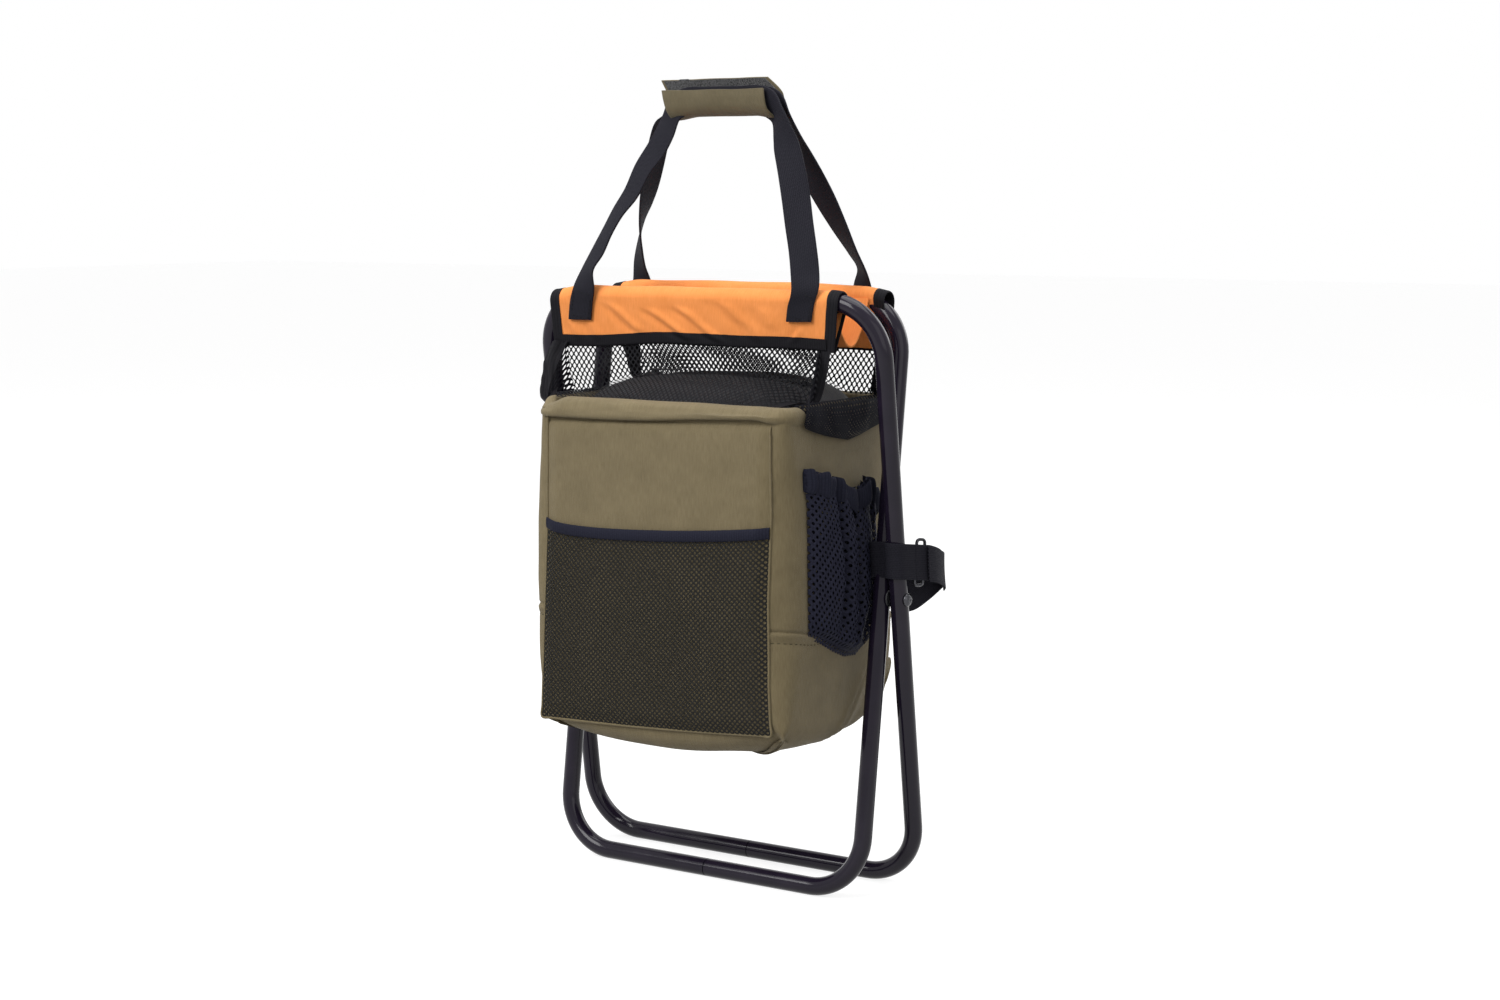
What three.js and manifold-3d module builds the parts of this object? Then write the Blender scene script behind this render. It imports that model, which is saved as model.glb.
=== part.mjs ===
// Folding cooler stool: two crossed tube frames carry a sling seat, an insulated bag and carry straps.
// Millimetres, +Z up, front towards -Y. The origin is on the floor, under the middle of the stool.
// It stands nearly folded: both frames hinge on one line through the rivets at mid height.

import * as THREE from 'three';
import { mergeVertices } from 'three/addons/utils/BufferGeometryUtils.js';
import Module from 'manifold-3d';

const wasm = await Module();
wasm.setup();

const HALF_TURN = Math.PI;
const QUARTER_TURN = HALF_TURN / 2;
const SIDES = { left: -1, right: 1 };

// Clearances
const SEAT_GAP = 0.3;
const CLOTH_SLACK = 0.5;
const OVERRUN = 4;

// Frame tubes: the outer loop leans forward at its top, the inner loop leans back.
const TUBE_DIAMETER = 16;
const TUBE_WALL = 1.2;
const TUBE_SIDES = 12;
const BORE_SIDES = 8;
const FRAME_WIDTH = 354;
const FRAME_LENGTH = 522;
const BEND_RADIUS = 50;
const BEND_STEPS = 6;
const REST_LEAN = THREE.MathUtils.degToRad(8);
const SEAM_GAP = 0.8;
const SPIGOT_LENGTH = 60;
const SPIGOT_WALL = 1.6;

// Pivot rivets and the washers between the legs
const RIVET_DIAMETER = 5;
const RIVET_HEAD_DIAMETER = 12;
const RIVET_HEAD_HEIGHT = 3;
const RIVET_TAIL_DIAMETER = 9;
const RIVET_TAIL_HEIGHT = 1.6;
const RIVET_SIDES = 16;
const WASHER_DIAMETER = 15;
const WASHER_THICKNESS = 1.2;

// Seat cloth: a sleeve on each top bar, black hems and end bindings, and a sling between them
const SLEEVE_TO_LEG = 9.2;
const SLEEVE_DEPTH = 36.5;
const CLOTH = 1.6;
const HEM_HEIGHT = 10.5;
const BINDING = 0.7;
const END_BINDING_WIDTH = 9;
const SLEEVE_ARC_STEPS = 8;
const SLING_DIP = 45;
const SLING_STEPS = 14;

// Insulated bag
const BAG_ABOVE_PIVOT = 162;
const BAG_BELOW_PIVOT = 136;
const BAG_TO_LEG = 21.2;
const BAG_FRONT = -112;
const BAG_REAR = 85;
const BAG_CORNER = 14;
const CORNER_STEPS = 4;
const BAG_SKIN = 2;
const FOAM_THICKNESS = 8;
const FOIL_THICKNESS = 1;
// height share, and how far the wall is drawn in as a share of the corner radius
const BAG_WALL_SHARES = [
  [0, 0.75],
  [0.02, 0.36],
  [0.07, 0.1],
  [0.3, 0],
  [0.9, 0],
  [1, 0.12],
];
const BOARD_THICKNESS = 3;

// Rolled border round the mouth, and the padded lid with its zip
const ROLL_WIDTH = 10;
const ROLL_HEIGHT = 10;
const ROLL_SIDES = 8;
const LID_THICKNESS = 5;
const LID_RISE = 22;
const LID_EDGE = 4;
const CROWN_SIDE_INSET = 26;
const CROWN_HALF_DEPTH = 34;
const ZIP_END_INSET = 9;
const ZIP_TAPE_WIDTH = 26;
const ZIP_TAPE = 1;
const ZIP_TEETH_WIDTH = 5;
const ZIP_TEETH_HEIGHT = 1.8;
const SLIDER_LENGTH = 12;
const SLIDER_WIDTH = 10;
const SLIDER_HEIGHT = 4.6;
const SLIDER_PLATE = 1.2;
const BAIL_LENGTH = 4;
const BAIL_WIDTH = 3;
const BAIL_HEIGHT = 2.4;
const PULLER_LENGTH = 30;
const PULLER_WIDTH = 8;
const PULLER_THICKNESS = 1.2;
const SLIDER_END_INSET = 23;

// Front panel and its slip pocket
const PANEL_SIDE_INSET = 16;
const PANEL_LOW_INSET = 18;
const PANEL_TOP_INSET = 8;
const PANEL_CORNER = 10;
const PANEL_THICKNESS = 3;
const POCKET_HEIGHT = 182;
const POCKET_BINDING = 10;
const POCKET_BINDING_THICKNESS = 2.2;
const NET = 1.2;
const NET_CORD = 1.5;
const NET_BORDER = 5;
const SLIP_POCKET_COLUMNS = 12;
const SLIP_POCKET_ROWS = 8;

// Side pockets
const SIDE_POCKET_FRONT_INSET = 26;
const SIDE_POCKET_WIDTH = 120;
const SIDE_POCKET_LIFT = 80;
const SIDE_POCKET_HEIGHT = 172;
const SIDE_POCKET_BULGE = 15;
const SIDE_POCKET_STEPS = 12;
const SIDE_BINDING = 9;

// Nets between the seat and the bag
const NET_COLUMNS = 26;
const NET_ROWS = 4;
const SIDE_NET_DROOP = 34;
const SIDE_NET_BULGE = 13;
const SIDE_NET_FOLD = 2.2;
const SIDE_NET_FOLDS = 5;
const SIDE_NET_ACROSS = 26;
const SIDE_NET_DOWN = 8;

// Carry straps and grip
const WEBBING = 1.8;
const HANDLE_WEBBING_WIDTH = 25;
const HANDLE_END_INSET = 24;
const HANDLE_RISE = 181;
const HANDLE_TOP_APART = 2.4;
const HANDLE_ROOT = 8;
const HANDLE_CORNER = 14;
const HANDLE_CORNER_STEPS = 5;
const TAB_LENGTH = 30;
const GRIP_HALF_LENGTH = 56;
const GRIP_CLOTH = 1.6;
const GRIP_DROP = 17;
const GRIP_FRONT_FLAP = 12;
const GRIP_REAR_FLAP = 21;
const GRIP_END_ROOM = 3.5;
const GRIP_STEPS = 10;
const TAPE_THICKNESS = 0.8;
const TAPE_HEIGHT = 11;
const TAPE_HALF_LENGTH = 50;

// Closure strap round the right legs, with its wire ring
const CLOSURE_WEBBING_WIDTH = 38;
const CLOSURE_ABOVE_PIVOT = 40;
const CLOSURE_REACH = 24;
const CLOSURE_TILT = THREE.MathUtils.degToRad(6);
const CLOSURE_STEPS = 8;
const CLOSURE_TAIL_LENGTH = 38;
const CLOSURE_TAIL_DROP = 14;
const CLOSURE_TAIL_TILT = THREE.MathUtils.degToRad(14);
const RING_WIRE = 2.6;
const RING_PLACE = 20;
const RING_HEIGHT = 44;
const RING_WIDTH = 12;
const RING_CORNER = 3;
const RING_SIDES = 6;
const RING_CORNER_STEPS = 3;

// Sizes that follow
const TUBE_RADIUS = TUBE_DIAMETER / 2;
const HALF_LENGTH = FRAME_LENGTH / 2;
const OUTER_HALF_WIDTH = FRAME_WIDTH / 2;
const LEG_OFFSET = TUBE_DIAMETER + WASHER_THICKNESS + 2 * SEAT_GAP;
const INNER_HALF_WIDTH = OUTER_HALF_WIDTH - LEG_OFFSET;
const PIVOT_HEIGHT = TUBE_RADIUS * Math.cos(HALF_TURN / TUBE_SIDES) + HALF_LENGTH * Math.cos(REST_LEAN);
const SLEEVE_INNER = TUBE_RADIUS + CLOTH_SLACK;
const SLEEVE_OUTER = SLEEVE_INNER + CLOTH;
const SLEEVE_END = INNER_HALF_WIDTH - SLEEVE_TO_LEG;
const SLEEVE_HALF_LENGTH = SLEEVE_END - END_BINDING_WIDTH;
const HEM_BOTTOM = SLEEVE_DEPTH + HEM_HEIGHT;
const BAG_TOP = PIVOT_HEIGHT + BAG_ABOVE_PIVOT;
const BAG_BOTTOM = PIVOT_HEIGHT - BAG_BELOW_PIVOT;
const BAG_HEIGHT = BAG_TOP - BAG_BOTTOM;
const BAG_HALF_WIDTH = INNER_HALF_WIDTH - TUBE_RADIUS - BAG_TO_LEG;
const BAG_MIDDLE = (BAG_FRONT + BAG_REAR) / 2;
const BAG_HALF_DEPTH = (BAG_REAR - BAG_FRONT) / 2;
const ROLL_FLAT = ROLL_WIDTH / 2 * (1 - Math.cos(HALF_TURN / ROLL_SIDES));
const CROWN_HALF_WIDTH = BAG_HALF_WIDTH - CROWN_SIDE_INSET;
const ZIP_HALF_LENGTH = CROWN_HALF_WIDTH - ZIP_END_INSET;
const PANEL_HALF_WIDTH = BAG_HALF_WIDTH - PANEL_SIDE_INSET;
const PANEL_BOTTOM = BAG_BOTTOM + PANEL_LOW_INSET;
const PANEL_TOP = BAG_TOP - PANEL_TOP_INSET;
const POCKET_TOP = PANEL_BOTTOM + POCKET_HEIGHT;
const SIDE_POCKET_FRONT = BAG_FRONT + SIDE_POCKET_FRONT_INSET;
const SIDE_POCKET_REAR = SIDE_POCKET_FRONT + SIDE_POCKET_WIDTH;
const SIDE_POCKET_BOTTOM = BAG_BOTTOM + SIDE_POCKET_LIFT;
const SIDE_POCKET_TOP = SIDE_POCKET_BOTTOM + SIDE_POCKET_HEIGHT;
const HANDLE_SPREAD = SLEEVE_HALF_LENGTH - HANDLE_END_INSET;
const HANDLE_TOP_SPREAD = GRIP_HALF_LENGTH + GRIP_END_ROOM + HANDLE_WEBBING_WIDTH / 2;
const CLOSURE_HEIGHT = PIVOT_HEIGHT + CLOSURE_ABOVE_PIVOT;

// Colours
const PAINT = { color: 0x101012, roughness: 0.25, metalness: 0.3 };
const STEEL = { color: 0x9a9a9c, roughness: 0.35, metalness: 1 };
const BLACK_WEBBING = { color: 0x1e1e21, roughness: 0.85, metalness: 0 };
const ORANGE_CLOTH = { color: 0xf08a3c, roughness: 0.8, metalness: 0 };
const OLIVE_CLOTH = { color: 0x6f6553, roughness: 0.85, metalness: 0 };
const DARK_NET = { color: 0x232332, roughness: 0.8, metalness: 0 };
const NYLON = { color: 0x2a2a2c, roughness: 0.5, metalness: 0 };
const FOAM = { color: 0xe8e8e4, roughness: 0.9, metalness: 0 };
const FOIL = { color: 0xc9ccd0, roughness: 0.3, metalness: 0.8 };
const BOARD = { color: 0x55524c, roughness: 0.7, metalness: 0 };

const stool = new THREE.Group();

function addMesh(parent, name, geometry, look) {
  const mesh = new THREE.Mesh(geometry, new THREE.MeshStandardMaterial(look));
  mesh.name = name;
  parent.add(mesh);
  return mesh;
}

// A closed surface whose faces point out, whichever way its rings were wound
function facingOut(geometry) {
  const place = geometry.attributes.position;
  const index = geometry.index.array;
  const corner = [0, 1, 2].map(() => new THREE.Vector3());
  let volume = 0;
  for (let i = 0; i < index.length; i += 3) {
    corner.forEach((point, k) => point.fromBufferAttribute(place, index[i + k]));
    volume += corner[0].dot(corner[1].cross(corner[2]));
  }
  if (volume < 0) {
    for (let i = 0; i < index.length; i += 3) {
      [index[i], index[i + 1]] = [index[i + 1], index[i]];
    }
  }
  return geometry;
}

function surface(points, triangles) {
  const geometry = new THREE.BufferGeometry();
  const numbers = points.flatMap((point) => [point.x, point.y, point.z]);
  geometry.setAttribute('position', new THREE.Float32BufferAttribute(numbers, 3));
  geometry.setIndex(triangles);
  return facingOut(geometry);
}

// Rings of equal length are joined in turn. An open row of rings gets flat ends, a closed row none.
function loft(rings, closed = false) {
  const count = rings[0].length;
  const points = rings.flat();
  const triangles = [];
  const joins = closed ? rings.length : rings.length - 1;
  for (let r = 0; r < joins; r += 1) {
    const here = r * count;
    const next = ((r + 1) % rings.length) * count;
    for (let i = 0; i < count; i += 1) {
      const j = (i + 1) % count;
      triangles.push(here + i, here + j, next + j, here + i, next + j, next + i);
    }
  }
  if (!closed) {
    [[0, 1], [rings.length - 1, -1]].forEach(([ring, turn]) => {
      const middle = rings[ring].reduce((sum, point) => sum.add(point), new THREE.Vector3());
      const hub = points.push(middle.divideScalar(count)) - 1;
      for (let i = 0; i < count; i += 1) {
        const a = ring * count + i;
        const b = ring * count + ((i + 1) % count);
        triangles.push(...(turn > 0 ? [hub, b, a] : [hub, a, b]));
      }
    });
  }
  return surface(points, triangles);
}

// A thin sheet: place(u, v) gives its middle for u and v from 0 to 1
function sheet(place, thickness, across, down) {
  const step = 1e-3;
  const layers = [1, -1].map(() => []);
  for (let j = 0; j <= down; j += 1) {
    for (let i = 0; i <= across; i += 1) {
      const [u, v] = [i / across, j / down];
      const alongU = place(u + step, v).sub(place(u - step, v));
      const alongV = place(u, v + step).sub(place(u, v - step));
      const normal = alongU.cross(alongV).setLength(thickness / 2);
      layers[0].push(place(u, v).add(normal));
      layers[1].push(place(u, v).sub(normal));
    }
  }
  const row = across + 1;
  const size = row * (down + 1);
  const triangles = [];
  for (let j = 0; j < down; j += 1) {
    for (let i = 0; i < across; i += 1) {
      const [a, b, c, d] = [j * row + i, j * row + i + 1, (j + 1) * row + i + 1, (j + 1) * row + i];
      triangles.push(a, b, c, a, c, d);
      triangles.push(size + a, size + c, size + b, size + a, size + d, size + c);
    }
  }
  const wall = (a, b) => triangles.push(a, size + b, b, a, size + a, size + b);
  for (let i = 0; i < across; i += 1) {
    wall(i, i + 1);
    wall(down * row + i + 1, down * row + i);
  }
  for (let j = 0; j < down; j += 1) {
    wall((j + 1) * row, j * row);
    wall(j * row + across, (j + 1) * row + across);
  }
  return surface([...layers[0], ...layers[1]], triangles);
}

function toSolid(geometry) {
  const bare = geometry.clone();
  bare.deleteAttribute('normal');
  bare.deleteAttribute('uv');
  const merged = mergeVertices(bare);
  return new wasm.Manifold(new wasm.Mesh({
    numProp: 3,
    vertProperties: new Float32Array(merged.attributes.position.array),
    triVerts: new Uint32Array(merged.index.array),
  }));
}

function toGeometry(solid) {
  const mesh = solid.getMesh();
  const geometry = new THREE.BufferGeometry();
  geometry.setAttribute('position', new THREE.BufferAttribute(new Float32Array(mesh.vertProperties), 3));
  geometry.setIndex(new THREE.BufferAttribute(new Uint32Array(mesh.triVerts), 1));
  return geometry;
}

// An outline in Y and Z, drawn out evenly to both sides along X
function extrudeAlongX(shape, length, curveSegments = SLEEVE_ARC_STEPS) {
  const geometry = new THREE.ExtrudeGeometry(shape, { depth: length, bevelEnabled: false, curveSegments });
  const turn = new THREE.Matrix4().makeBasis(
    new THREE.Vector3(0, 1, 0), new THREE.Vector3(0, 0, 1), new THREE.Vector3(1, 0, 0));
  return geometry.translate(0, 0, -length / 2).applyMatrix4(turn);
}

// An outline in X and Z whose thickness runs back from its front face
function extrudeBack(shape, thickness, curveSegments = SLEEVE_ARC_STEPS) {
  const geometry = new THREE.ExtrudeGeometry(shape, { depth: thickness, bevelEnabled: false, curveSegments });
  return geometry.rotateX(QUARTER_TURN).translate(0, thickness, 0);
}

function polygon(points) {
  return new THREE.Shape(points.map(([x, y]) => new THREE.Vector2(x, y)));
}

function rectangle(left, bottom, right, top) {
  return polygon([[left, bottom], [right, bottom], [right, top], [left, top]]);
}

function roundedRectangle(left, bottom, right, top, radius) {
  const shape = new THREE.Shape();
  shape.absarc(right - radius, bottom + radius, radius, -QUARTER_TURN, 0);
  shape.absarc(right - radius, top - radius, radius, 0, QUARTER_TURN);
  shape.absarc(left + radius, top - radius, radius, QUARTER_TURN, HALF_TURN);
  shape.absarc(left + radius, bottom + radius, radius, HALF_TURN, 3 * QUARTER_TURN);
  shape.closePath();
  return shape;
}

// A many-sided circle with one flat side turned to the angle given
function circlePoints(radius, sides, flatAngle = 0) {
  return Array.from({ length: sides }, (_, i) => {
    const angle = flatAngle + (2 * i + 1) * HALF_TURN / sides;
    return new THREE.Vector2(radius * Math.cos(angle), radius * Math.sin(angle));
  });
}

function tubeSection(radius, bore, flatAngle) {
  const shape = new THREE.Shape(circlePoints(radius, TUBE_SIDES, flatAngle));
  shape.holes.push(new THREE.Path(circlePoints(bore, BORE_SIDES, flatAngle)));
  return shape;
}

function rodAlongX(radius, length, sides) {
  return new THREE.CylinderGeometry(radius, radius, length, sides).rotateZ(QUARTER_TURN);
}

// A rounded rectangle in X and Z, from one side of the seam in its lower bar round to the other
class LoopPath extends THREE.Curve {
  constructor(halfWidth, halfLength, radius, seam) {
    super();
    this.stations = [{ point: new THREE.Vector3(seam / 2, 0, -halfLength), heading: 0 }];
    [[1, -1], [1, 1], [-1, 1], [-1, -1]].forEach(([sideX, sideZ], k) => {
      for (let i = 0; i <= BEND_STEPS; i += 1) {
        const heading = (k + i / BEND_STEPS) * QUARTER_TURN;
        const x = sideX * (halfWidth - radius) + radius * Math.sin(heading);
        const z = sideZ * (halfLength - radius) - radius * Math.cos(heading);
        this.stations.push({ point: new THREE.Vector3(x, 0, z), heading });
      }
    });
    this.stations.push({ point: new THREE.Vector3(-seam / 2, 0, -halfLength), heading: 2 * HALF_TURN });
  }

  get steps() {
    return this.stations.length - 1;
  }

  station(u) {
    return this.stations[Math.round(u * this.steps)];
  }

  getPointAt(u, target = new THREE.Vector3()) {
    return target.copy(this.station(u).point);
  }

  getTangentAt(u, target = new THREE.Vector3()) {
    const { heading } = this.station(u);
    return target.set(Math.cos(heading), 0, Math.sin(heading));
  }
}

// A frame: the bent tube, its spigot at the seam and the group that leans it about the pivot
function makeFrame(name, halfWidth, lean) {
  const frame = new THREE.Group();
  frame.position.z = PIVOT_HEIGHT;
  frame.rotation.x = lean;
  stool.add(frame);
  const path = new LoopPath(halfWidth, HALF_LENGTH, BEND_RADIUS, SEAM_GAP);
  const section = tubeSection(TUBE_RADIUS, TUBE_RADIUS - TUBE_WALL, -lean);
  const bent = new THREE.ExtrudeGeometry(section, { steps: path.steps, extrudePath: path });
  const drill = rodAlongX(RIVET_DIAMETER / 2 + SEAT_GAP, 2 * (halfWidth + TUBE_DIAMETER), RIVET_SIDES);
  addMesh(frame, `${name}_tube`, toGeometry(toSolid(bent).subtract(toSolid(drill))), PAINT);
  const boreFlat = (TUBE_RADIUS - TUBE_WALL) * Math.cos(HALF_TURN / BORE_SIDES);
  const spigotRadius = boreFlat - SEAT_GAP;
  const plug = extrudeAlongX(tubeSection(spigotRadius, spigotRadius - SPIGOT_WALL, -lean), SPIGOT_LENGTH);
  addMesh(frame, `${name}_spigot`, plug.translate(0, 0, -HALF_LENGTH), STEEL);
  return frame;
}

// One rivet through both legs of a side: domed head outside, set tail inside, washer between
function addPivot(side) {
  const sign = SIDES[side];
  const outside = OUTER_HALF_WIDTH + TUBE_RADIUS + SEAT_GAP;
  const inside = INNER_HALF_WIDTH - TUBE_RADIUS - SEAT_GAP;
  const radius = RIVET_DIAMETER / 2;
  const outline = [
    [0, inside - RIVET_TAIL_HEIGHT],
    [RIVET_TAIL_DIAMETER / 2, inside - RIVET_TAIL_HEIGHT],
    [RIVET_TAIL_DIAMETER / 2, inside],
    [radius, inside],
    [radius, outside],
    [RIVET_HEAD_DIAMETER / 2, outside],
  ];
  const domeSteps = 4;
  for (let i = 1; i <= domeSteps; i += 1) {
    const angle = i / domeSteps * QUARTER_TURN;
    const reach = i < domeSteps ? Math.cos(angle) * RIVET_HEAD_DIAMETER / 2 : 0;
    outline.push([reach, outside + RIVET_HEAD_HEIGHT * Math.sin(angle)]);
  }
  const profile = outline.map(([r, along]) => new THREE.Vector2(r, along));
  const rivet = new THREE.LatheGeometry(profile, RIVET_SIDES).rotateZ(-sign * QUARTER_TURN);
  addMesh(stool, `${side}_pivot_rivet`, facingOut(rivet).translate(0, 0, PIVOT_HEIGHT), STEEL);
  const middle = (OUTER_HALF_WIDTH + INNER_HALF_WIDTH) / 2;
  const disc = rodAlongX(WASHER_DIAMETER / 2, WASHER_THICKNESS, RIVET_SIDES);
  const hole = rodAlongX(radius + SEAT_GAP, WASHER_THICKNESS + OVERRUN, RIVET_SIDES);
  const washer = toGeometry(toSolid(disc).subtract(toSolid(hole)));
  addMesh(stool, `${side}_pivot_washer`, washer.translate(sign * middle, 0, PIVOT_HEIGHT), NYLON);
}

// The sleeve hangs on its bar like a hood, open below, where the hem closes it
function hoodOutline(outer, inner, depth) {
  const shape = new THREE.Shape();
  shape.moveTo(outer, -depth);
  shape.absarc(0, 0, outer, 0, HALF_TURN);
  shape.lineTo(-outer, -depth);
  shape.lineTo(-inner, -depth);
  shape.absarc(0, 0, inner, HALF_TURN, 0, true);
  shape.lineTo(inner, -depth);
  shape.closePath();
  return shape;
}

function addSleeve(frame, side) {
  const place = (geometry) => geometry.translate(0, 0, HALF_LENGTH);
  const sleeve = extrudeAlongX(hoodOutline(SLEEVE_OUTER, SLEEVE_INNER, SLEEVE_DEPTH), 2 * SLEEVE_HALF_LENGTH);
  addMesh(frame, `${side}_sleeve`, place(sleeve), ORANGE_CLOTH);
  const outer = SLEEVE_OUTER + BINDING;
  const top = -SLEEVE_DEPTH - SEAT_GAP;
  const hem = polygon([
    [-outer, top], [-outer, -HEM_BOTTOM], [outer, -HEM_BOTTOM], [outer, top],
    [SLEEVE_INNER, top], [SLEEVE_INNER, CLOTH - HEM_BOTTOM], [-SLEEVE_INNER, CLOTH - HEM_BOTTOM],
    [-SLEEVE_INNER, top],
  ]);
  addMesh(frame, `${side}_hem`, place(extrudeAlongX(hem, 2 * SLEEVE_HALF_LENGTH)), BLACK_WEBBING);
  const band = new THREE.Shape();
  band.absarc(0, 0, outer, 0, HALF_TURN);
  band.lineTo(-outer, -HEM_BOTTOM);
  band.lineTo(outer, -HEM_BOTTOM);
  const mouth = new THREE.Path();
  mouth.absarc(0, 0, SLEEVE_INNER, 0, HALF_TURN);
  mouth.lineTo(-SLEEVE_INNER, CLOTH - HEM_BOTTOM);
  mouth.lineTo(SLEEVE_INNER, CLOTH - HEM_BOTTOM);
  band.holes.push(mouth);
  Object.entries(SIDES).forEach(([end, sign]) => {
    const binding = extrudeAlongX(band, END_BINDING_WIDTH - SEAT_GAP);
    const middle = sign * (SLEEVE_END + SLEEVE_HALF_LENGTH + SEAT_GAP) / 2;
    addMesh(frame, `${side}_sleeve_binding_${end}`, place(binding).translate(middle, 0, 0), BLACK_WEBBING);
  });
}

// A point given on a frame's bar, in the stool's own Y and Z
function onBar(lean, across, up) {
  const [c, s] = [Math.cos(lean), Math.sin(lean)];
  const height = HALF_LENGTH + up;
  return new THREE.Vector2(across * c - height * s, PIVOT_HEIGHT + across * s + height * c);
}

// The seat hangs slack between the two sleeves while the frames are folded
function addSling() {
  const rim = onBar(REST_LEAN, SLEEVE_OUTER + SEAT_GAP + CLOTH / 2, 0);
  const place = (u, v) => {
    const across = 2 * v - 1;
    const sag = SLING_DIP * (1 - across * across);
    return new THREE.Vector3((2 * u - 1) * SLEEVE_HALF_LENGTH, across * -rim.x, rim.y - sag);
  };
  addMesh(stool, 'seat_sling', sheet(place, CLOTH, 1, SLING_STEPS), ORANGE_CLOTH);
}

function ringOfPoints(halfX, halfY, radius, z) {
  const points = [];
  [[1, -1], [1, 1], [-1, 1], [-1, -1]].forEach(([sideX, sideY], k) => {
    for (let i = 0; i <= CORNER_STEPS; i += 1) {
      const angle = (k - 1 + i / CORNER_STEPS) * QUARTER_TURN;
      const x = sideX * (halfX - radius) + radius * Math.cos(angle);
      const y = BAG_MIDDLE + sideY * (halfY - radius) + radius * Math.sin(angle);
      points.push(new THREE.Vector3(x, y, z));
    }
  });
  return points;
}

// The bag's wall is drawn in towards its floor and a little at its mouth
function wallLevels(bottom) {
  const levels = BAG_WALL_SHARES.map(([height]) => BAG_BOTTOM + height * BAG_HEIGHT);
  return [bottom, ...levels.filter((z) => z > bottom)];
}

function drawnAt(z) {
  const share = THREE.MathUtils.clamp((z - BAG_BOTTOM) / BAG_HEIGHT, 0, 1);
  const above = Math.max(BAG_WALL_SHARES.findIndex(([height]) => height >= share), 1);
  const [lowHeight, lowDrawn] = BAG_WALL_SHARES[above - 1];
  const [highHeight, highDrawn] = BAG_WALL_SHARES[above];
  const part = (share - lowHeight) / (highHeight - lowHeight);
  return BAG_CORNER * THREE.MathUtils.lerp(lowDrawn, highDrawn, part);
}

function bagRing(inset, z) {
  const inward = inset + drawnAt(z);
  const radius = Math.max(BAG_CORNER - inset, BAG_CORNER / 4);
  return ringOfPoints(BAG_HALF_WIDTH - inward, BAG_HALF_DEPTH - inward, radius, z);
}

// A cup that follows the bag's wall at an inset, open at the top
function bagCup(inset, wall, bottom) {
  const outside = wallLevels(bottom).map((z) => bagRing(inset, z));
  const inside = wallLevels(bottom + wall).map((z) => bagRing(inset + wall, z));
  return loft([...outside, ...inside.reverse()]);
}

function addBag() {
  addMesh(stool, 'bag_shell', bagCup(0, BAG_SKIN, BAG_BOTTOM), OLIVE_CLOTH);
  const boardInset = BAG_SKIN + SEAT_GAP;
  const boardBottom = BAG_BOTTOM + BAG_SKIN + SEAT_GAP;
  const board = [boardBottom, boardBottom + BOARD_THICKNESS].map((z) => bagRing(boardInset, z));
  addMesh(stool, 'base_board', loft(board), BOARD);
  const foamInset = BAG_SKIN + SEAT_GAP;
  const foamBottom = boardBottom + BOARD_THICKNESS + SEAT_GAP;
  addMesh(stool, 'foam_liner', bagCup(foamInset, FOAM_THICKNESS, foamBottom), FOAM);
  const foilInset = foamInset + FOAM_THICKNESS + SEAT_GAP;
  const foilBottom = foamBottom + FOAM_THICKNESS + SEAT_GAP;
  addMesh(stool, 'foil_lining', bagCup(foilInset, FOIL_THICKNESS, foilBottom), FOIL);
}

// The rolled border sits on the wall's top edge, and the lid closes the mouth inside it
function addRollAndLid() {
  const base = BAG_TOP + SEAT_GAP;
  const section = circlePoints(1, ROLL_SIDES).map(({ x, y }) => {
    const lift = 1 + y / Math.cos(HALF_TURN / ROLL_SIDES);
    return bagRing(ROLL_WIDTH / 2 * (1 - x), base + ROLL_HEIGHT / 2 * lift);
  });
  addMesh(stool, 'mouth_roll', loft(section, true), OLIVE_CLOTH);
  const edge = ROLL_WIDTH + SEAT_GAP;
  const crown = (inset, z) => ringOfPoints(CROWN_HALF_WIDTH - inset, CROWN_HALF_DEPTH - inset, BAG_CORNER, z);
  const shoulderShare = 0.62;
  const shoulder = (inset, z) => bagRing(edge + inset, z);
  const lid = loft([
    crown(LID_THICKNESS, base + LID_RISE - LID_THICKNESS),
    shoulder(LID_THICKNESS * 2, base),
    shoulder(0, base),
    shoulder(0, base + LID_EDGE),
    shoulder(BAG_CORNER, base + LID_RISE * shoulderShare),
    crown(0, base + LID_RISE),
  ]);
  addMesh(stool, 'cooler_lid', lid, DARK_NET);
  addZip(base + LID_RISE + SEAT_GAP);
}

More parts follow.
